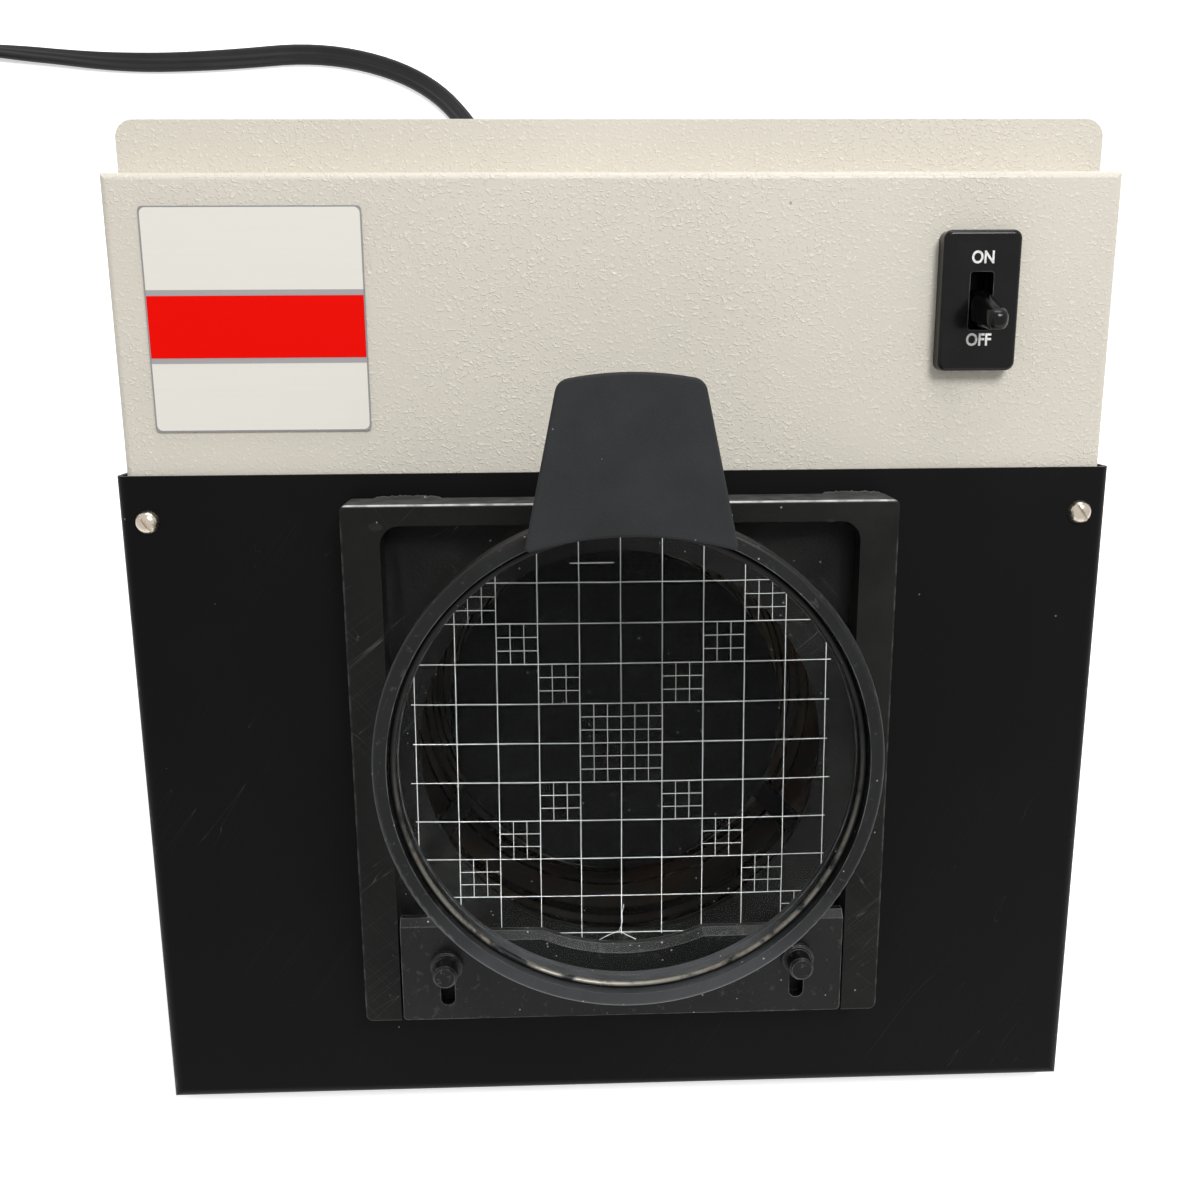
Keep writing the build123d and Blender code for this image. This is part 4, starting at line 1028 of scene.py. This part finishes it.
CORD_START = Vector((-0.024, 0.105245, 0.045))
CORD_ROUTE = [
    (0, 0, 0), (0, 0.038, 0), (-0.003, 0.084, -0.015), (-0.007, 0.130, -0.031),
    (-0.014, 0.180, -0.0385), (-0.027, 0.230, -0.0398), (-0.056, 0.277, -0.0398),
    (-0.107, 0.300, -0.0399), (-0.161, 0.292, -0.0402), (-0.208, 0.291, -0.0410),
    (-0.258, 0.300, -0.0418), (-0.296, 0.3045, -0.0410), (-0.316, 0.3060, -0.0404),
]
# how the flat cord is turned about its own line: 0 lies flat, 90 stands on edge
CORD_TWIST = [(0.0, 0), (0.14, 10), (0.25, 54), (0.36, 54), (0.43, 34), (0.49, 4),
              (0.54, -24), (0.585, -36), (0.64, -90)]


class COUNTER_OT_cord(CounterStep):
    """Lay the flat mains cord, its coil, the strain relief and the plug"""
    bl_idname = "counter.cord"
    bl_label = "Mains cord"

    coil_past = Vector((-0.334, 0.251))     # coil's middle from where the cord starts
    turn_radius = (0.0552, 0.0468, 0.0464, 0.0550)
    points_per_turn = 16
    step_share = 0.22                       # share of a turn in which a turn steps aside
    layer_height = 3.05                     # middle of the upper turns, in half widths of cord
    tail_aside = 0.052                      # the tail leaves beside the coil's middle
    tail_bends = ((0.020, 0.3), (0.040, 0.85), (0.062, 1.0))
    plug_height = 0.011
    groove = 0.72                           # height of the dip between two lobes, as a share of one

    def route(self):
        points = [CORD_START + Vector(p) for p in CORD_ROUTE]
        middle = Vector((CORD_START.x + self.coil_past.x, CORD_START.y + self.coil_past.y))
        half = self.sizes.cord_width / 2
        heights = (half, half, self.layer_height * half, self.layer_height * half)
        total = int(self.sizes.coil_turns * self.points_per_turn)
        for i in range(total + 1):
            turns = i / self.points_per_turn
            lap = min(int(turns), len(self.turn_radius) - 1)
            after = min(lap + 1, len(self.turn_radius) - 1)
            share = eased(max(0.0, (turns - lap - 1 + self.step_share) / self.step_share))
            radius = self.turn_radius[lap] * (1 - share) + self.turn_radius[after] * share
            height = heights[lap] * (1 - share) + heights[after] * share
            turn = math.radians(90 + 360 * turns)
            points.append(Vector((middle.x + radius * math.cos(turn),
                                  middle.y + radius * math.sin(turn), height)))
        side = middle.x - self.tail_aside
        last = points[-1]
        for past, share in self.tail_bends:
            points.append(Vector((last.x * (1 - share) + side * share, middle.y - past,
                                  last.z * (1 - share) + self.plug_height * share)))
        return points

    def centreline(self, points):
        """Places along the smooth line through the route."""
        curve = bpy.data.curves.new("cord_line", "CURVE")
        curve.dimensions = "3D"
        curve.resolution_u = 8
        spline = curve.splines.new("NURBS")
        spline.points.add(len(points) - 1)
        for control, place in zip(spline.points, points):
            control.co = (*place, 1)
        spline.order_u = 3
        spline.use_endpoint_u = True
        mesh = mesh_of_curve(curve)
        line = [v.co.copy() for v in mesh.vertices]
        bpy.data.meshes.remove(mesh)
        return line

    def twist(self, distance):
        for (start, first), (end, second) in zip(CORD_TWIST, CORD_TWIST[1:]):
            if distance <= end:
                share = eased(max(0.0, (distance - start) / (end - start)))
                return math.radians(first + (second - first) * share)
        return math.radians(CORD_TWIST[-1][1])

    def section(self):
        """Three joined lobes, as (across, through)."""
        lobe = self.sizes.cord_thickness / 2
        pitch = (self.sizes.cord_width - 2 * lobe) / 2
        dip = lobe * self.groove

        def arc(x, start, end, steps):
            turns = [math.radians(start + (end - start) * i / steps) for i in range(steps + 1)]
            return [(x + lobe * math.cos(turn), lobe * math.sin(turn)) for turn in turns]

        return [*arc(pitch, -90, 90, 8), (pitch / 2, dip), *arc(0, 50, 130, 4), (-pitch / 2, dip),
                *arc(-pitch, 90, 270, 8), (-pitch / 2, -dip), *arc(0, 230, 310, 4), (pitch / 2, -dip)]

    def execute(self, context):
        line = self.centreline(self.route())
        section = self.section()
        mesh = bmesh.new()
        rings = []
        travelled = 0.0
        for i, place in enumerate(line):
            before, after = line[max(i - 1, 0)], line[min(i + 1, len(line) - 1)]
            if i:
                travelled += (place - line[i - 1]).length
            along = (after - before).normalized()
            side = along.cross(Vector((0, 0, 1))).normalized()
            upright = side.cross(along)
            turn = self.twist(travelled)
            wide = side * math.cos(turn) + upright * math.sin(turn)
            thick = upright * math.cos(turn) - side * math.sin(turn)
            rings.append([mesh.verts.new(place + wide * x + thick * y) for x, y in section])
        skin(mesh, rings)
        caps(mesh, rings)
        bmesh.ops.recalc_face_normals(mesh, faces=mesh.faces)
        jacket = soft_rubber("cord_jacket", self.finish.cord)
        cord = piece("mains_cord", mesh, [jacket], "root", smooth=True)
        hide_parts("power_cord", "cord_coil", "cord_tail")
        dress(["strain_relief", "plug_body"], soft_rubber("plug_vinyl", shade(1.2, self.finish.cord)))
        dress(["plug_pins"], bare_metal("pin_brass", display(196, 160, 90), 0.25, 0.0, 0.3))
        return {"FINISHED"}


class COUNTER_OT_studio(CounterStep):
    """Set the floor, the lights and the camera"""
    bl_idname = "counter.studio"
    bl_label = "Studio"

    camera_place = Vector((-0.01545, -0.16495, 0.37794))
    camera_right = Vector((0.99935, -0.03062, 0.01973))
    camera_up = Vector((0.01205, 0.84556, 0.53372))
    camera_ahead = Vector((0.03372, 0.53309, -0.84549))
    lens = 36.0
    sensor = 36.0
    floor_half = 4.0
    floor_glow = 0.54           # only as it is seen, so that it shows white
    middle = (0.0, 0.0, 0.1)
    key_place = (0.36, -0.14, 1.36)
    key_size = (0.4, 0.4)
    back_place = (0.1, 0.85, 1.1)
    back_size = (0.9, 0.5)

    @property
    def studio(self):
        return bpy.context.scene.counter_studio

    def camera(self):
        shot = bpy.data.cameras.new("studio_camera")
        shot.lens = self.lens
        shot.sensor_width = self.sensor
        shot.clip_start = 0.01
        holder = linked("studio_camera", shot)
        turned = Matrix((self.camera_right, self.camera_up, -self.camera_ahead)).transposed()
        holder.matrix_world = Matrix.Translation(self.camera_place) @ turned.to_4x4()
        bpy.context.scene.camera = holder

    def floor(self):
        f = Finish("studio_floor")
        paint = f.add("ShaderNodeBsdfDiffuse", {"Color": (*self.studio.floor[:3], 1)})
        glow = f.add("ShaderNodeEmission", {"Color": (1, 1, 1, 1), "Strength": self.floor_glow})
        none = f.add("ShaderNodeEmission", {"Strength": 0.0})
        lift = f.add("ShaderNodeMixShader", {0: f.seen(), 1: none.outputs[0], 2: glow.outputs[0]})
        both = f.add("ShaderNodeAddShader", {0: paint.outputs[0], 1: lift.outputs[0]})
        f.finish(both.outputs[0])
        mesh = bmesh.new()
        bmesh.ops.create_grid(mesh, x_segments=4, y_segments=4, size=self.floor_half)
        made = finished_mesh("studio_floor", mesh)
        made.materials.append(f.material)
        linked("studio_floor", made)

    def light(self, name, place, power, size):
        lamp = bpy.data.lights.new(name, "AREA")
        lamp.energy = power
        lamp.shape = "RECTANGLE"
        lamp.size, lamp.size_y = size
        holder = linked(name, lamp)
        holder.location = place
        way = Vector(self.middle) - Vector(place)
        holder.rotation_euler = way.to_track_quat("-Z", "Y").to_euler()

    def sky(self):
        f = Finish("studio_sky", sky=True)
        level = f.between(f.seen(), 0.0, 1.0, self.studio.sky, 1.0)
        shown = f.add("ShaderNodeBackground", {"Color": (1, 1, 1, 1), "Strength": level})
        f.finish(shown.outputs[0])
        bpy.context.scene.world = f.material

    def execute(self, context):
        bpy.context.scene.view_settings.view_transform = "Standard"
        self.floor()
        self.sky()
        self.light("key_light", self.key_place, self.studio.key_power, self.key_size)
        self.light("back_light", self.back_place, self.studio.back_power, self.back_size)
        self.camera()
        return {"FINISHED"}


STEPS = (COUNTER_OT_studio, COUNTER_OT_cord, COUNTER_OT_housing, COUNTER_OT_front_cover,
         COUNTER_OT_fasteners, COUNTER_OT_nameplate, COUNTER_OT_switch, COUNTER_OT_dish_stage,
         COUNTER_OT_guide_plate, COUNTER_OT_magnifier, COUNTER_OT_shade_tab, COUNTER_OT_lamp)


class COUNTER_PT_steps(bpy.types.Panel):
    """Buttons for each step and the values that they use"""
    bl_label = "Colony counter"
    bl_idname = "COUNTER_PT_steps"
    bl_space_type = "VIEW_3D"
    bl_region_type = "UI"
    bl_category = "Counter"

    def draw(self, context):
        for step in STEPS:
            self.layout.operator(step.bl_idname)
        for group in (context.scene.counter_finish, context.scene.counter_sizes,
                      context.scene.counter_studio):
            box = self.layout.box()
            for name in group.bl_rna.properties.keys():
                if name not in ("rna_type", "name"):
                    box.prop(group, name)


CLASSES = (CounterFinish, CounterSizes, CounterStudio, *STEPS, COUNTER_PT_steps)


def register():
    for item in CLASSES:
        bpy.utils.register_class(item)
    bpy.types.Scene.counter_finish = PointerProperty(type=CounterFinish)
    bpy.types.Scene.counter_sizes = PointerProperty(type=CounterSizes)
    bpy.types.Scene.counter_studio = PointerProperty(type=CounterStudio)


def unregister():
    for name in ("counter_finish", "counter_sizes", "counter_studio"):
        delattr(bpy.types.Scene, name)
    for item in reversed(CLASSES):
        bpy.utils.unregister_class(item)


def main():
    register()
    for step in STEPS:
        group, name = step.bl_idname.split(".")
        getattr(getattr(bpy.ops, group), name)()


if __name__ == "__main__":
    main()
